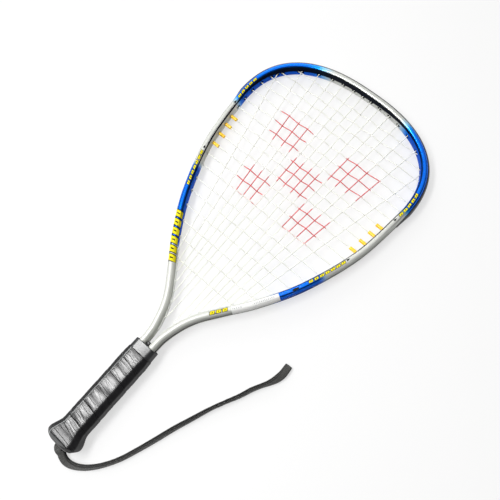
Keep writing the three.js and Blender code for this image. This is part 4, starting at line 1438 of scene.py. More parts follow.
@dataclass
class Hoop:
    """Hollow aluminium tube bent round the head, drilled for the strings."""

    width: float = 0.0095
    depth: float = 0.020
    wall: float = 0.0009
    fullness: float = 2.5
    groove_width: float = 0.0044
    groove_depth: float = 0.0022
    slot_length: float = 0.006
    slot_height: float = 0.0052
    hole_radius: float = 0.00095
    # How far the drills and the bore's cutter reach beyond the tube.
    drill_over: float = 0.0025
    slot_over: float = 0.002
    bore_over: float = 0.001
    # Share of the tube's width that a slot is cut in, which leaves the outer wall whole.
    slot_share: float = 0.45
    steps: int = 32
    bore_steps: int = 48
    drill_sides: int = 10
    slot_sides: int = 20

    def turn_at(self, height: float) -> float:
        """Turn round the section, from its outer side, at a height over its middle."""
        return math.asin((height / (self.depth / 2)) ** (self.fullness / 2))

    def skin(self, turn: float, grow: float = 0.0) -> tuple:
        """Point of the tube's rounded outline, as out and up.

        Args:
            turn: Turn round the section from its outer side.
            grow: How far outside the outline the point is.

        Returns:
            The point.
        """
        c, s = math.cos(turn), math.sin(turn)
        ease = 2 / self.fullness
        w, h = self.width / 2, self.depth / 2
        n = Vector((bent(c, 2 - ease) / w, bent(s, 2 - ease) / h)).normalized()
        return (bent(c, ease) * w + n.x * grow, bent(s, ease) * h + n.y * grow)

    def section(self) -> list:
        """Outline of the tube as pairs of out and up, with its outer string groove.

        Returns:
            The outline.
        """
        edge = self.turn_at(self.groove_width / 2)
        turns = [mix(edge, 2 * math.pi - edge, i / self.steps) for i in range(self.steps + 1)]
        bottom = self.width / 2 - self.groove_depth
        low, high = self.skin(turns[-1])[1], self.skin(turns[0])[1]
        return [self.skin(turn) for turn in turns] + [(bottom, low), (bottom, high)]

    def bore(self) -> list:
        """Outline of the hollow inside, which ends a wall short of the groove.

        Returns:
            The outline.
        """
        limit = self.width / 2 - self.groove_depth - self.wall
        turns = [2 * math.pi * (i + 0.5) / self.bore_steps for i in range(self.bore_steps)]
        outline = [self.skin(turn, -self.wall) for turn in turns]
        return [p for p in outline if p[0] < limit]

    def cutter(self, passage: Passage, inward: bool) -> Object:
        """Drill for one side of a passage.

        Args:
            passage: The passage.
            inward: Whether it is the side towards the net.

        Returns:
            The drill.
        """
        middle = passage.crossing.space(0.0, passage.height)
        way = passage.way_out()
        reach = (self.width / 2 + self.drill_over) / passage.way.dot(passage.crossing.n)
        if not inward:
            return Bench.bar(middle, middle + way * reach, self.hole_radius, self.drill_sides)
        if passage.entry is not Entry.SLOT:
            return Bench.bar(middle - way * reach, middle, passage.entry.value)
        s = passage.inner
        across, along = s.n.to_3d(), s.t.to_3d()
        foot = s.space(-self.width / 2, 0.0)
        ends = foot - across * self.slot_over, foot + across * self.width * self.slot_share
        piece = Bench.bar(*ends, 1.0, self.slot_sides)
        piece.data.transform(LAID.inverted())
        for point in piece.data.vertices:
            off = point.co - foot
            run, rise = off.dot(along) * self.slot_length / 2, off.z * self.slot_height / 2
            point.co = foot + across * off.dot(across) + along * run + UP * rise
        piece.data.transform(LAID)
        return piece

    def build(self, strings: StringBed, material: Material) -> None:
        """Makes the tube, drilled for the strings.

        Args:
            strings: The strings.
            material: Its material.
        """
        piece = Bench.loft("hoop_tube", swept(self.section(), LINE.stations))
        first, last = LINE.stations[0], LINE.stations[-1]
        start = Station(first.p - first.t * self.bore_over, first.t, first.n, 0.0)
        end = Station(last.p + last.t * self.bore_over, last.t, last.n, 0.0)
        Bench.cut(piece, [Bench.loft("bore", swept(self.bore(), [start, *LINE.stations, end]))])
        for group in (strings.main_ends, strings.cross_ends):
            ways = [passage for pair in group for passage in pair]
            for inward in (True, False):
                Bench.cut(piece, [self.cutter(passage, inward) for passage in ways])
        mark_hoop(piece)
        Bench.settle(piece, 32, material, "lacquered_aluminium", "frame_tube")


def mark_hoop(piece: Object) -> None:
    """Writes each point's distance from the tip, place across the tube and height.

    Args:
        piece: The piece.
    """
    tree = KDTree(len(LINE.stations))
    for i, s in enumerate(LINE.stations):
        tree.insert((s.p.x, s.p.y, 0.0), i)
    tree.balance()
    back = LAID.inverted()
    values = []
    for point in piece.data.vertices:
        p = back @ point.co
        s = LINE.stations[tree.find((p.x, p.y, 0.0))[1]]
        off = Vector((p.x, p.y)) - s.p
        values.append((LINE.half - s.d - off.dot(s.t), off.dot(s.n), p.z))
    Bench.mark(piece, "hoop", values)


@dataclass
class BumperGuard:
    """Black nylon guard round the crown, thinner and lower towards its ends."""

    thickness: float = 0.0016
    height: float = 0.013
    end_share: float = 0.7064
    taper: float = 0.026
    tip_share: float = 0.4
    edge_share: float = 0.35
    bulge_power: float = 0.6
    gap: float = 0.0003
    steps: int = 12

    def build(self, hoop: Hoop, material: Material) -> None:
        """Makes the guard, which fits round the tube and thins towards its edges.

        Args:
            hoop: The tube that it lies on.
            material: Its material.
        """
        start = LINE.side_at(LINE.along(self.end_share), True)
        end = LINE.length - start
        rings = []
        for s in LINE.between(start, end):
            near = min(s.d - start, end - s.d)
            share = mix(self.tip_share, 1.0, smooth(near / self.taper))
            last = hoop.turn_at(self.height / 2 * share)
            turns = [mix(-last, last, i / self.steps) for i in range(self.steps + 1)]
            outer = []
            for turn in turns:
                bulge = 0.0
                if abs(turn) < last:
                    bulge = math.cos(math.pi / 2 * turn / last) ** self.bulge_power
                thick = self.thickness * share * mix(self.edge_share, 1.0, bulge)
                outer.append(hoop.skin(turn, self.gap + thick))
            outline = outer + [hoop.skin(turn, self.gap) for turn in reversed(turns)]
            rings += swept(outline, [s])
        piece = Bench.loft("crown_bumper", rings)
        Bench.settle(piece, 40, material, "black_nylon", "bumper_guard")


@dataclass
class Bush:
    """Sleeve or eyelet that leads a string through the frame's inner wall."""

    radius: float
    reach: float
    root: float = 0.0026
    bore: float = 0.00085
    rim: float = 0.0004
    floor: float = 0.0004
    sides: int = 24

    def model(self) -> Object:
        """Makes the bush upright, its wall end at the origin and its mouth upwards.

        Returns:
            The bush.
        """
        Bench.clear()
        bpy.ops.mesh.primitive_cylinder_add(
            vertices=self.sides,
            radius=self.radius,
            depth=self.reach + self.root,
            location=(0, 0, (self.reach - self.root) / 2),
        )
        piece = bpy.context.object
        piece.data.transform(piece.matrix_world)
        piece.matrix_world = Matrix.Identity(4)

        def at_mouth(p: Vector) -> bool:
            """Whether a point is in the plane of the mouth."""
            return abs(p.z - self.reach) < NEAR

        Bench.pick(piece, "FACE", at_mouth)
        lip = self.rim * 0.3
        bpy.ops.mesh.inset(thickness=self.radius - self.bore - lip)
        bpy.ops.mesh.inset(thickness=lip)
        depth = self.reach + self.root - self.floor
        bpy.ops.mesh.extrude_region_move(TRANSFORM_OT_translate={"value": (0, 0, -depth)})
        outer = self.radius * 0.97
        Bench.pick(piece, "EDGE", lambda p: at_mouth(p) and Vector(p.xy).length > outer)
        bpy.ops.mesh.bevel(offset=self.rim, segments=3, affect="EDGES")
        Bench.clear()
        return piece

    def placed(self, model: Object, name: str, passage: Passage) -> Object:
        """Copies the model, with its own mesh, onto a passage.

        Args:
            model: The bush that is copied.
            name: Name of the copy.
            passage: Where it goes.

        Returns:
            The copy.
        """
        piece = model.copy()
        piece.data = model.data.copy()
        piece.name = name
        bpy.context.scene.collection.objects.link(piece)
        turn = (-passage.way_out()).to_track_quat("Z", "X").to_matrix().to_4x4()
        piece.data.transform(LAID @ Matrix.Translation(passage.wall_point()) @ turn)
        return piece


@dataclass
class Bushes:
    """All sleeves and eyelets."""

    sleeve: Bush
    eyelet: Bush

    def build(self, strings: StringBed, yellow: Material, clear: Material) -> None:
        """Models each kind once and copies it to its places.

        Args:
            strings: The strings that they lead.
            yellow: Material of the sleeves.
            clear: Material of the eyelets.
        """
        sleeve, eyelet = self.sleeve.model(), self.eyelet.model()
        for level, pair in enumerate(strings.cross_ends):
            for side, passage in zip(("left", "right"), pair):
                if passage.entry is Entry.SLEEVE:
                    name = f"sleeve_{side}_{level - strings.first_sleeve + 1}"
                    piece = self.sleeve.placed(sleeve, name, passage)
                    Bench.settle(piece, 50, yellow, "yellow_nylon", f"string_{name}")
                elif passage.entry is Entry.EYELET:
                    name = f"eyelet_{side}_{level + 1}"
                    piece = self.eyelet.placed(eyelet, name, passage)
                    Bench.settle(piece, 50, clear, "clear_nylon", f"cross_{name}")
        for side, row in (("left", 0), ("right", -1)):
            foot = strings.main_ends[row][0]
            piece = self.eyelet.placed(eyelet, f"main_string_eyelet_{side}", foot)
            Bench.settle(piece, 50, clear, "clear_nylon", f"main_eyelet_{side}")
        bpy.data.objects.remove(sleeve)
        bpy.data.objects.remove(eyelet)


@dataclass
class ThroatStrip:
    """Nylon strip under the main strings' holes on one throat tube, with a nub at each."""

    thickness: float = 0.001
    height: float = 0.0056
    low_share: float = 0.0469
    end_room: float = 0.0056
    gap: float = 0.0001
    nub_radius: float = 0.0016
    nub_reach: float = 0.0009
    nub_root: float = 0.0003
    corner: float = 0.0005
    bevel: float = 0.0003

    def build(self, strings: StringBed, left: bool, material: Material) -> None:
        """Makes the strip of one side.

        Args:
            strings: The strings that it holds.
            left: Whether it is the left strip.
            material: Its material.
        """
        side = "left" if left else "right"
        foot = LINE.side_at(LINE.along(self.low_share), left)
        ways = strings.passages()
        eyelets = [
            p.inner.d for p in ways if p.entry is Entry.EYELET and (p.crossing.p.y > 0) == left
        ]
        head = min(eyelets) - self.end_room if left else max(eyelets) + self.end_room
        low, high = sorted((foot, head))
        seat = -LINE.half_tube - self.gap
        deep = seat - self.thickness
        h = self.height / 2
        outline = rounded([(seat, -h), (seat, h), (deep, h), (deep, -h)], self.corner, 2)
        parts = [Bench.loft(f"strip_{side}", swept(outline, LINE.between(low, high)))]
        for passage in ways:
            s, z = passage.crossing, passage.height
            if passage.entry is Entry.STRIP and low < s.d < high:
                ends = [s.space(deep + out, z) for out in (self.nub_root, -self.nub_reach)]
                parts.append(Bench.bar(*ends, self.nub_radius))
        piece = Bench.joined(parts)
        Bench.finish(piece, "BEVEL", width=self.bevel, segments=2, limit_method="ANGLE")
        Bench.settle(piece, 50, material, "clear_nylon", f"throat_strip_{side}")


@dataclass
class PriceLabel:
    """Paper label round the face and the outer side of the right throat tube."""

    thickness: float = 0.0003
    gap: float = 0.0001
    low_share: float = 0.225
    high_share: float = 0.3381
    groove_half: float = 0.0025
    last_turn: float = math.radians(114)
    steps: int = 14

    def build(self, hoop: Hoop, material: Material) -> None:
        """Makes the label.

        Args:
            hoop: The tube that it sticks to.
            material: Its material.
        """
        start = LINE.side_at(LINE.along(self.high_share), False)
        end = LINE.side_at(LINE.along(self.low_share), False)
        first = hoop.turn_at(self.groove_half)
        turns = [mix(first, self.last_turn, i / self.steps) for i in range(self.steps + 1)]
        outline = [hoop.skin(turn, self.gap) for turn in turns]
        outline += [hoop.skin(turn, self.gap + self.thickness) for turn in reversed(turns)]
        piece = Bench.loft("paper_label", swept(outline, LINE.between(start, end)))
        mark_hoop(piece)
        Bench.settle(piece, 40, material, "label_paper", "price_label")


@dataclass
class Core:
    """Eight-sided section of the handle: half width, half height and the two bevels."""

    a: float
    b: float
    cy: float
    cz: float

    def outline(self, grow: float = 0.0) -> list:
        """Corners of the section, grown by a distance.

        Args:
            grow: The distance.

        Returns:
            The corners.
        """
        w, h = self.a + grow, self.b + grow
        slope = math.atan2(self.cz, self.cy)
        y = self.cy - grow * math.tan(slope / 2) + grow
        z = self.cz - grow * math.tan((math.pi / 2 - slope) / 2) + grow
        upper = [(w, -h + z), (w, h - z), (w - y, h), (-w + y, h)]
        return upper + [(-w, h - z), (-w, -h + z), (-w + y, -h), (w - y, -h)]

    def drawn_in(self, by: float) -> "Core":
        """Section whose sides are drawn in by a distance, with the same bevels."""
        return Core(self.a - by, self.b - by, self.cy, self.cz)

    def towards(self, other: "Core", share: float) -> "Core":
        """Section between this one and another."""
        return Core(*(mix(a, b, share) for a, b in zip(astuple(self), astuple(other))))


@dataclass
class Handle:
    """Butt cap, wound grip tape, finishing tape and throat plug over the pallets."""

    full: Core
    top: Core
    cap: Core
    gap: float = 0.0003
    floor_gap: float = 0.0001
    taper: float = 0.024
    cap_full_at: float = 0.0085
    cap_flare: float = 0.018
    cap_edge_round: float = 0.0062
    cap_corner: float = 0.0026
    cap_steps: int = 10
    skirt_at: float = 0.030
    # How far inside the tape's base the cap's hollow stays.
    skirt_bite: float = 0.0006
    hollow_at: float = 0.0077
    end_wall: float = 0.004
    chamber_end: float = 0.009
    chamber_half: tuple = (0.01185, 0.0100)
    slot_half: tuple = (0.0051, 0.0037)
    slot_corner: float = 0.0012
    slot_bevel: float = 0.0004
    # How far a cutter reaches beyond what it cuts.
    over: float = 0.001
    tape_low: float = 0.0022
    tape_thickness: float = 0.0013
    tape_base: float = 0.0006
    tape_turns: int = 6
    tape_seam: float = 0.0006
    turn_length: float = 0.104
    swell: float = 0.00012
    tuck_depth: float = 0.00014
    least_gape: float = 0.08
    more_gape: float = 0.22
    # Share of a turn in which the band opens, and of a flat side over which a corner is felt.
    easing: float = 0.3
    corner_reach: float = 0.32
    furrow_depth: float = 0.00014
    crease_depth: float = 0.00007
    bulk_height: float = 0.00024
    fold_height: float = 0.00008
    fold_pitch: float = 0.00135
    edge_round: float = 0.00035
    wrap_corner: float = 0.0018
    wrap_corner_share: float = 0.45
    finish_length: float = 0.012
    finish_thickness: float = 0.0009
    finish_round: float = 0.0002
    finish_corner: float = 0.0020
    plug_length: float = 0.004
    plug_height: float = 0.009
    plug_bevel: float = 0.0006
    arc_points: int = 5
    flat_points: int = 6
    tape_points: int = 66

    def core_at(self, x: float) -> Core:
        """Section under the tape at a distance from the butt.

        Args:
            x: Distance from the butt.

        Returns:
            The section.
        """
        if x < self.cap_full_at:
            depth = min(max((self.cap_full_at - x) / self.cap_full_at, 0.0), 1.0)
            return self.cap.drawn_in(self.cap_edge_round * (1 - math.sqrt(1 - depth**2)))
        if x < self.cap_full_at + self.cap_flare:
            return self.cap.towards(self.full, smooth((x - self.cap_full_at) / self.cap_flare))
        share = smooth((x - LINE.grip_length + self.taper) / self.taper)
        return self.full.towards(self.top, share)

    def wound(self, x: float, step: int, grow: float) -> Vector:
        """Point of the wrap, which climbs from right to left over the front.

        Args:
            x: Distance from the butt.
            step: Step of the winding.
            grow: Height over the core.

        Returns:
            The point.
        """
        each = self.arc_points + self.flat_points
        corner, part = divmod(step % (8 * each), each)
        outline = [Vector(p) for p in self.core_at(x).outline(grow)]
        here, after = outline[corner], outline[(corner + 1) % 8]
        before = outline[corner - 1]
        start, end = arc_ends(before, here, after, self.wrap_corner, self.wrap_corner_share)
        if part < self.arc_points:
            p = arc(start, here, end, part / (self.arc_points - 1))
        else:
            t = (part - self.arc_points + 1) / (self.flat_points + 1)
            p = end.lerp(after - (end - here), t)
        return Vector((x, -p.x, p.y))

    def creases(self, along: float, across: float, corner: float) -> float:
        """Height of the tape's surface over its mean.

        Args:
            along: Distance along the tape.
            across: Distance across it.
            corner: Nearness to a corner of the handle, at most 1.

        Returns:
            The height, in metres.
        """
        skewed = across - along * 0.15 + 0.0016 * noise.noise((along * 45, across * 60, 8.0))
        slow = noise.noise((along * 28, skewed * 130, 1.5))
        stroke = noise.noise((along * 34, skewed * 340, 4.5))
        thin = noise.noise((along * 60, skewed * 640, 7.5))
        busy = smooth(0.5 + 1.6 * noise.noise((along * 30, across * 70, 12.0)))
        furrow = 1 - smooth(abs(stroke) / 0.20)
        crease = (1 - smooth(abs(thin) / 0.16)) * busy
        fold = corner * math.sin(across * 2 * math.pi / self.fold_pitch + 3 * slow)
        raised = slow * self.bulk_height + fold * self.fold_height
        return raised - furrow * self.furrow_depth - crease * self.crease_depth

    def band_section(self, low: float, high: float, r: float) -> list:
        """Section of the tape between two edges rounded by r, as place and share of the rise.

        Args:
            low: Lower edge.
            high: Upper edge.
            r: Radius of both edges.

        Returns:
            The section.
        """
        last = self.tape_points - 1
        section = [(low, 0.0), (mix(low, high, 0.5), 0.0), (high, 0.0)]
        section += [(high, 0.55), (high - r * 0.3, 0.90)]
        section += [(mix(high - r, low + r, i / last), 1.0) for i in range(last + 1)]
        return section + [(low + r * 0.3, 0.90), (low, 0.55)]

    def build_wrap(self, material: Material) -> None:
        """Winds the grip tape: one band whose ends narrow where it meets the two edges.

        Args:
            material: Its material.
        """
        each = self.arc_points + self.flat_points
        per_turn = 8 * each
        high_end = LINE.grip_length - self.finish_length - self.gap
        least = 2 * self.edge_round + self.tape_seam
        pitch = (high_end - self.tape_low - 2 * least - self.tape_seam) / self.tape_turns

        def seam(step: int) -> float:
            """Place of the seam at a step of the winding."""
            return self.tape_low + least + self.tape_seam + pitch * step / per_turn

        rings, marks = [], []
        for step in range((self.tape_turns + 1) * per_turn + 1):
            along = step / per_turn * self.turn_length
            closed, shut = (
                1 - smooth((step / per_turn - turns) / self.easing) for turns in (1, 2)
            )
            gape = self.least_gape + self.more_gape * (1 + noise.noise((along * 40, 3.0, 0.5)))
            gape = mix(gape, self.least_gape, closed)
            high = min(seam(step) - self.tape_seam * gape, high_end)
            low = self.tape_low if step < per_turn else seam(step - per_turn)
            wide = high - low
            across_flat = max(step % each - self.arc_points + 1, 0) / (self.flat_points + 1)
            corner = max(1 - min(across_flat, 1 - across_flat) / self.corner_reach, 0.0)
            ring = []
            r = min(self.edge_round * mix(1.0, 0.2, closed), wide / 4)
            for x, lift in self.band_section(low, high, r):
                share = (x - low) / wide
                lumps = self.creases(along, x - seam(step) + pitch, corner)
                lumps *= mix(0.3, 1.0, smooth((x - 0.009) / 0.018))
                lumps += self.swell * math.sin(math.pi * share)
                tuck = self.tuck_depth * smooth(1 - share / 0.12) * (lift > 0) * (1 - shut)
                rise = self.tape_thickness * lift + lumps * (lift == 1.0) - tuck
                rise *= mix(0.3, 1.0, smooth((x - self.tape_low) / 0.005))
                ring.append(self.wound(x, step, self.tape_base - self.swell + rise))
                marks.append((along, x, corner))
            rings.append(ring)
        piece = Bench.loft("wound_grip", rings)
        for point in piece.data.vertices:
            point.co.z = max(point.co.z, self.floor_gap)
        Bench.mark(piece, "winding", marks)
        Bench.settle(piece, 55, material, "grip_wrap", "grip_tape")

    def ring(self, x: float, grow: float, radius: float) -> list:
        """Rounded section of the handle at a distance from the butt."""
        outline = rounded(self.core_at(x).outline(grow), radius, 4)
        return [Vector((x, *p)) for p in outline]

    @staticmethod
    def carve(piece: Object, outline: list, low: float, high: float) -> None:
        """Cuts a straight room along the handle, with a given outline, out of a piece."""
        rings = [[Vector((x, *p)) for p in outline] for x in (low, high)]
        Bench.cut(piece, [Bench.loft("room", rings)])

    def build_cap(self, material: Material) -> None:
        """Makes the flared butt cap with its slot and its hollow skirt.

        Args:
            material: Its material.
        """
        turns = [math.pi / 2 * i / self.cap_steps for i in range(self.cap_steps + 1)]
        places = [self.cap_full_at * (1 - math.cos(turn)) for turn in turns]
        shares = [i / self.cap_steps for i in range(1, self.cap_steps + 1)]
        places += [self.cap_full_at + self.cap_flare * share for share in shares]
        places.append(self.skirt_at)
        piece = Bench.loft("flared_cap", [self.ring(x, 0.0, self.cap_corner) for x in places])
        y_slot, z_slot = self.slot_half
        slot = rounded([(y * y_slot, z * z_slot) for y, z in CORNERS], self.slot_corner, 4)
        self.carve(piece, slot, -self.over, self.end_wall + self.over)
        room = self.full.drawn_in(self.skirt_bite).outline()
        self.carve(piece, room, self.hollow_at, self.skirt_at + self.over)
        y_room, z_room = self.chamber_half
        chamber = [(y * y_room, z * z_room) for y, z in CORNERS]
        self.carve(piece, chamber, self.end_wall, self.chamber_end)

        def on_slot(p: Vector) -> bool:
            """Whether a point is on the slot's outer edge."""
            q = LAID.inverted() @ p
            return q.x < NEAR and abs(q.y) < y_slot + NEAR and abs(q.z) < z_slot + NEAR

        Bench.pick(piece, "EDGE", on_slot)
        bpy.ops.mesh.bevel(offset=self.slot_bevel, segments=2, affect="EDGES")
        Bench.settle(piece, 40, material, "black_nylon", "butt_cap")

    def build_finish(self, material: Material) -> None:
        """Makes the finishing tape, one turn with rounded edges.

        Args:
            material: Its material.
        """
        low, high = LINE.grip_length - self.finish_length, LINE.grip_length - self.gap
        inner, outer = self.gap, self.gap + self.finish_thickness
        r = self.finish_round
        section = [(low, inner), (low, outer - r), (low + r, outer)]
        section += [(mix(low, high, i / 6), outer) for i in range(1, 6)]
        section += [(high - r, outer), (high, outer - r), (high, inner)]
        rings = [self.ring(x, grow, self.finish_corner) for x, grow in section]
        piece = Bench.loft("finishing_band", rings, band=True)
        Bench.settle(piece, 40, material, "finishing_vinyl", "finishing_tape")

    def build_plug(self, material: Material) -> None:
        """Makes the small plug between the tubes at the top of the grip.

        Args:
            material: Its material.
        """
        half = LINE.pair_offset - LINE.half_tube - self.gap
        middle = LINE.grip_length + self.gap + self.plug_length / 2
        Bench.clear()
        bpy.ops.mesh.primitive_cube_add(size=1.0)
        piece = bpy.context.object
        piece.name = "tube_gap_plug"
        size = Matrix.Diagonal((self.plug_length, 2 * half, self.plug_height, 1.0))
        piece.data.transform(Matrix.Translation((middle, 0, 0)) @ size)
        Bench.pick(piece, "FACE", lambda p: p.x > middle)
        bpy.ops.mesh.inset(thickness=half * 0.25)
        Bench.finish(piece, "BEVEL", width=self.plug_bevel, segments=3, limit_method="ANGLE")
        piece.data.transform(LAID)
        Bench.settle(piece, 50, material, "black_nylon", "throat_plug")


@dataclass
class Tether:
    """Doubled wrist tether: one flat braid, out from the butt to its fold and back."""

    width: float = 0.009
    thickness: float = 0.0022
    spread: float = 0.0033
    pressed: float = 0.72
    length: float = 0.622
    steps: int = 9
    lift: float = 0.0003
    fold_steps: int = 12
    sides: int = 20
    ripple: float = 0.0026
    knot_size: float = 0.00132
    knot_radius: float = 0.0017
    knot_at: float = 0.0100
    knot_steps: int = 90
    knot_sides: int = 12
    knot_pitch: float = 0.0006
    round_wide: float = 0.75
    round_thin: float = 0.8
    ripple_share: float = 0.10
    # Route of the CAD solid, from the end of the butt, in millimetres, each point with the
    # twist of the braid from lying flat, in degrees.
    route: tuple = (
        ((3.7, 0, 17.1, 0), (-2.1, 0, 16.7, 0), (-6.0, -1.8, 13.4, 0), (-8.1, -6.0, 8.9, 3))
        + ((-10.7, -9.6, 6.3, 6), (-12.0, -14.4, 5.0, 16), (-11.0, -21.1, 4.9, 34))
        + ((-7.5, -28.7, 5.1, 50), (-1.3, -37.2, 5.1, 62), (7.0, -45.1, 5.1, 70))
        + ((16.3, -51.9, 5.1, 75), (30.7, -60.2, 5.1, 77), (51.4, -68.7, 5.1, 76))
        + ((72.9, -76.5, 5.1, 75), (94.8, -84.0, 5.1, 77), (116.1, -92.3, 5.1, 82))
        + ((137.3, -100.6, 5.0, 88), (155.1, -109.1, 5.0, 88), (170.3, -116.8, 5.0, 82))
        + ((184.4, -122.6, 5.0, 79), (195.1, -128.3, 5.0, 80), (202.8, -132.7, 5.0, 70))
        + ((210.8, -136.0, 4.8, 48), (219.4, -137.8, 4.3, 24), (229.6, -137.3, 3.5, 6))
    )

    def middle_line(self) -> list:
        """Points between the two layers, each with its twist, through all points of the route.

        Returns:
            The points, with the twist as their fourth number.
        """
        posts = [
            Vector((x / 1000 + BUTT_PLACE.x, y / 1000, z / 1000, math.radians(a)))
            for x, y, z, a in self.route
        ]
        posts = [posts[0] * 2 - posts[1], *posts, posts[-1] * 2 - posts[-2]]
        line = []
        for i in range(1, len(posts) - 2):
            p0, p1, p2, p3 = posts[i - 1 : i + 3]
            knots = [0.0]
            for a, b in ((p0, p1), (p1, p2), (p2, p3)):
                knots.append(knots[-1] + max((b - a).xyz.length, 1e-6) ** 0.5)
            t0, t1, t2, t3 = knots
            for k in range(self.steps):
                t = mix(t1, t2, k / self.steps)
                a1 = p0.lerp(p1, (t - t0) / (t1 - t0))
                a2 = p1.lerp(p2, (t - t1) / (t2 - t1))
                a3 = p2.lerp(p3, (t - t2) / (t3 - t2))
                b1 = a1.lerp(a2, (t - t0) / (t2 - t0))
                b2 = a2.lerp(a3, (t - t1) / (t3 - t1))
                line.append(b1.lerp(b2, (t - t1) / (t2 - t1)))
        line.append(posts[-2])
        return line

    def frames(self) -> list:
        """Place, direction, width direction and step to one layer along the doubled braid.

        Returns:
            The four for each point of the middle line.
        """
        line = self.middle_line()
        out = []
        for i, post in enumerate(line):
            p, a = post.xyz, post.w
            t = (line[min(i + 1, len(line) - 1)].xyz - line[max(i - 1, 0)].xyz).normalized()
            flat = UP.cross(t).normalized()
            lift = t.cross(flat)
            wide = flat * math.cos(a) + lift * math.sin(a)
            over = lift * math.cos(a) - flat * math.sin(a)
            apart = self.spread * mix(1.0, self.pressed, math.sin(a) ** 2)
            low = self.width / 2 * abs(wide.z) + (apart + self.thickness) / 2 * abs(over.z)
            p.z = max(p.z, low + self.lift)
            out.append((p, t, wide, over * (apart / 2)))
        return out

    def rows(self, frames: list) -> list:
        """Place, direction of the thickness and of the width along the whole braid.

        Args:
            frames: What frames returns.

        Returns:
            The three for each row.
        """
        rows = [(p - over, over.normalized(), wide) for p, _, wide, over in frames]
        p, t, wide, over = frames[-1]
        for i in range(1, self.fold_steps):
            turn = math.pi * i / self.fold_steps
            radial = -over * math.cos(turn) + t * (over.length * math.sin(turn))
            rows.append((p + radial, -radial.normalized(), wide))
        return rows + [(p + over, -over.normalized(), wide) for p, _, wide, over in frames[::-1]]

    def build(self, material: Material) -> None:
        """Args:
            material: Its material.
        """
        frames = self.frames()
        rows = self.rows(frames)
        rings, marks, path = [], [], []
        run = 0.0
        for i, (p, thin, wide) in enumerate(rows):
            run += (p - rows[i - 1][0]).length if i else 0.0
            path.append(tuple(p))
            ring = []
            for k in range(self.sides):
                turn = 2 * math.pi * k / self.sides
                c, s = math.cos(turn), math.sin(turn)
                w = bent(c, self.round_wide) * self.width / 2
                h = bent(s, self.round_thin) * self.thickness / 2
                phase = 0 if s > 0 else math.pi
                h *= 1 + self.ripple_share * math.sin(run * 2 * math.pi / self.ripple + phase)
                ring.append(p + wide * w + thin * h)
                marks.append((run, w, 0.0))
            rings.append(ring)
        piece = Bench.loft("flat_braid", rings, Matrix.Identity(4))
        Bench.mark(piece, "lace", marks)
        Bench.settle(piece, 80, material, "tether_braid", "tether_loop")
        LOG.info("flat braid: %.3f m long", run)

    def build_knot(self, material: Material) -> None:
        """Makes the knot behind the cap's end wall.

        Args:
            material: Its material.
        """
        path, marks = [], []
        size = self.knot_size
        for i in range(self.knot_steps + 1):
            a = 2 * math.pi * i / (self.knot_steps + 4)
            y = (math.sin(a) + 2 * math.sin(2 * a)) * size
            z = (math.cos(a) - 2 * math.cos(2 * a)) * size
            path.append(Vector((self.knot_at - math.sin(3 * a) * size * 1.9, y, z)))
            for k in range(self.knot_sides):
                across = math.sin(2 * math.pi * k / self.knot_sides) * self.knot_radius
                marks.append((i * self.knot_pitch, across, 0.0))
        piece = Bench.tube("butt_knot", path, self.knot_radius, self.knot_sides)
        Bench.mark(piece, "lace", marks)
        Bench.settle(piece, 80, material, "tether_braid", "tether_knot")


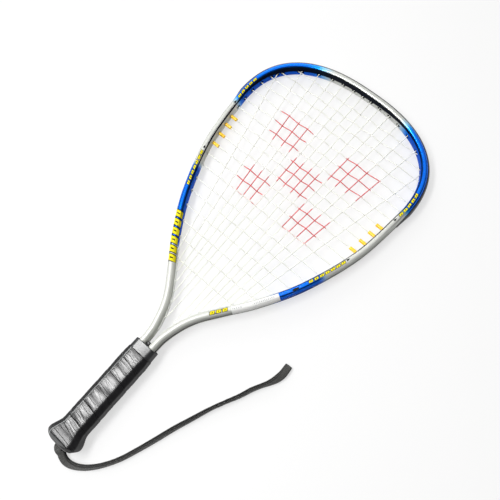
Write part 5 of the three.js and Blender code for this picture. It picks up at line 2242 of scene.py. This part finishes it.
@dataclass
class Studio:
    """Camera, floor and soft light."""

    lens: float = 43.2
    sensor: float = 36.0
    clip: tuple = (0.01, 50.0)
    camera_at: tuple = (0.1925, -0.1920, 0.6809)
    camera_right: tuple = (0.6542, -0.7514, -0.0864)
    camera_up: tuple = (0.7396, 0.6117, 0.2807)
    floor_size: float = 60.0
    floor_grey: tuple = (0.86, 0.86, 0.86)
    white: tuple = (1.0, 1.0, 1.0)
    glow_share: float = 0.62
    light_side: tuple = (0.50, 0.55, 0.67)
    # Brightness of the surroundings by how far a direction lies towards the light side.
    dome_stops: tuple = (
        (0.05, (0.02, 0.02, 0.021)),
        (0.35, (0.10, 0.10, 0.10)),
        (0.60, (0.42, 0.42, 0.41)),
        (0.90, (1.0, 1.0, 0.99)),
    )
    # Name, place, target, size and power of each soft box.
    lamps: tuple = (
        ("key", (-0.28, 0.29, 1.02), (-0.15, 0.0, 0.03), (0.78, 0.22), 9.4),
        ("window", (0.72, 0.62, 0.62), (0.10, 0.0, 0.0), (0.60, 0.30), 1.6),
        ("ceiling", (0.10, -0.10, 1.80), (0.05, 0.0, 0.0), (1.40, 1.40), 4.2),
    )

    def camera(self) -> None:
        """Puts the camera where the photograph was taken from."""
        data = bpy.data.cameras.new("camera")
        data.lens = self.lens
        data.sensor_width = self.sensor
        data.sensor_fit = "HORIZONTAL"
        data.clip_start, data.clip_end = self.clip
        eye = bpy.data.objects.new("camera", data)
        right = Vector(self.camera_right).normalized()
        back = right.cross(Vector(self.camera_up)).normalized()
        turn = Matrix((right, back.cross(right), back)).transposed().to_4x4()
        eye.matrix_world = LAID @ Matrix.Translation(Vector(self.camera_at)) @ turn
        bpy.context.scene.collection.objects.link(eye)
        bpy.context.scene.camera = eye

    def floor(self) -> None:
        """Makes the plain pale floor, which keeps the object's shadow."""
        Bench.clear()
        bpy.ops.mesh.primitive_plane_add(size=self.floor_size, location=(0, 0, 0))
        floor = bpy.context.object
        floor.name = "floor"
        s = Shades("floor")
        s.set(Base_Color=self.floor_grey, Roughness=0.9, Specular_IOR_Level=0.1)
        glow = s.node("ShaderNodeEmission", {}, {"Color": self.white, "Strength": 1.0})
        lit = Value(s, s.shader.outputs[0])
        share = s.seen() * self.glow_share
        s.show(s.node("ShaderNodeMixShader", {}, {0: share, 1: lit, 2: glow}))
        floor.data.materials.append(s.material)

    def world(self) -> None:
        """Makes the surroundings: white to the eye, a dome that is dark near the horizon."""
        s = Shades("studio", sky=True)
        bpy.context.scene.world = s.material
        way = s.node("ShaderNodeTexCoord", {}, {}, "Generated")
        dot = {"operation": "DOT_PRODUCT"}
        nearness = s.node("ShaderNodeVectorMath", dot, {0: way, 1: self.light_side}, "Value")
        eye = s.node("ShaderNodeLightPath", {}, {}, "Is Camera Ray")
        around, backdrop = (
            s.node("ShaderNodeBackground", {}, {"Color": colour, "Strength": 1.0})
            for colour in (s.ramp(nearness, *self.dome_stops), self.white)
        )
        s.show(s.node("ShaderNodeMixShader", {}, {0: eye, 1: around, 2: backdrop}))

    def lights(self) -> None:
        """Hangs the soft boxes and keeps the plain view settings."""
        for name, place, target, size, power in self.lamps:
            data = bpy.data.lights.new(name, "AREA")
            data.shape = "RECTANGLE"
            data.size, data.size_y = size
            data.energy = power
            box = bpy.data.objects.new(name, data)
            way = Vector(target) - Vector(place)
            box.rotation_euler = way.to_track_quat("-Z", "Y").to_euler()
            box.location = place
            bpy.context.scene.collection.objects.link(box)
        bpy.context.scene.view_settings.view_transform = "Standard"


def dress(node: str, material: Material) -> None:
    """Gives a CAD node that stays its finish.

    Args:
        node: Name of the node.
        material: Its material.
    """
    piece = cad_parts[node]
    if not piece.material_slots:
        piece.data.materials.append(material)
    for slot in piece.material_slots:
        slot.material = material
    LOG.info("%s: kept, in %s", node, material.name)


def main() -> None:
    """Builds the scene."""
    logging.basicConfig(level=logging.INFO, format="%(name)s: %(message)s")
    studio = Studio()
    studio.camera()
    braid = Braid().make()
    tether = Tether()
    tether.build(braid)
    tether.build_knot(braid)
    strings = StringBed()
    strings.build(StringNylon().make())
    black, rubber, yellow, clear, foam = (
        Moulded(*finish).make()
        for finish in (
            ("black_nylon", (0.012, 0.012, 0.013), (0.020, 0.020, 0.022), 0.42, 900, 0.00003, 0.4),
            ("cap_rubber", (0.010, 0.010, 0.011), (0.018, 0.018, 0.019), 0.34, 700, 0.00003),
            ("yellow_nylon", (1.0, 0.64, 0.0), (1.0, 0.54, 0.0), 0.38, 600, 0.00002, 0.0, 0.2),
            ("clear_nylon", (0.74, 0.76, 0.72), (0.66, 0.68, 0.64), 0.32, 600, 0.00002, 0.0, 0.3),
            ("core_foam", (0.07, 0.075, 0.08), (0.05, 0.054, 0.058), 0.85, 1500, 0.0001),
        )
    )
    hoop = Hoop()
    hoop.build(strings, Lacquer().make())
    BumperGuard().build(hoop, black)
    Bushes(Bush(0.0021, 0.0092), Bush(0.0017, 0.0016)).build(strings, yellow, clear)
    for left in (True, False):
        ThroatStrip().build(strings, left, clear)
    PriceLabel().build(hoop, Paper().make())
    handle = Handle(
        full=Core(0.0137, 0.0123, 0.0046, 0.0048),
        top=Core(0.0129, 0.0113, 0.0026, 0.0030),
        cap=Core(0.0181, 0.0156, 0.0046, 0.0048),
    )
    handle.build_wrap(Wrap().make())
    handle.build_finish(Vinyl().make())
    handle.build_cap(rubber)
    handle.build_plug(black)
    for side in ("front", "back"):
        dress(f"pallet_{side}", foam)
    steel = Zinc().make()
    for node in ("pallet_rivet_1", "pallet_rivet_2", "cap_tack_front", "cap_tack_back"):
        dress(node, steel)
    studio.floor()
    studio.world()
    studio.lights()
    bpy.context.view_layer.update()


if __name__ == "__main__":
    main()
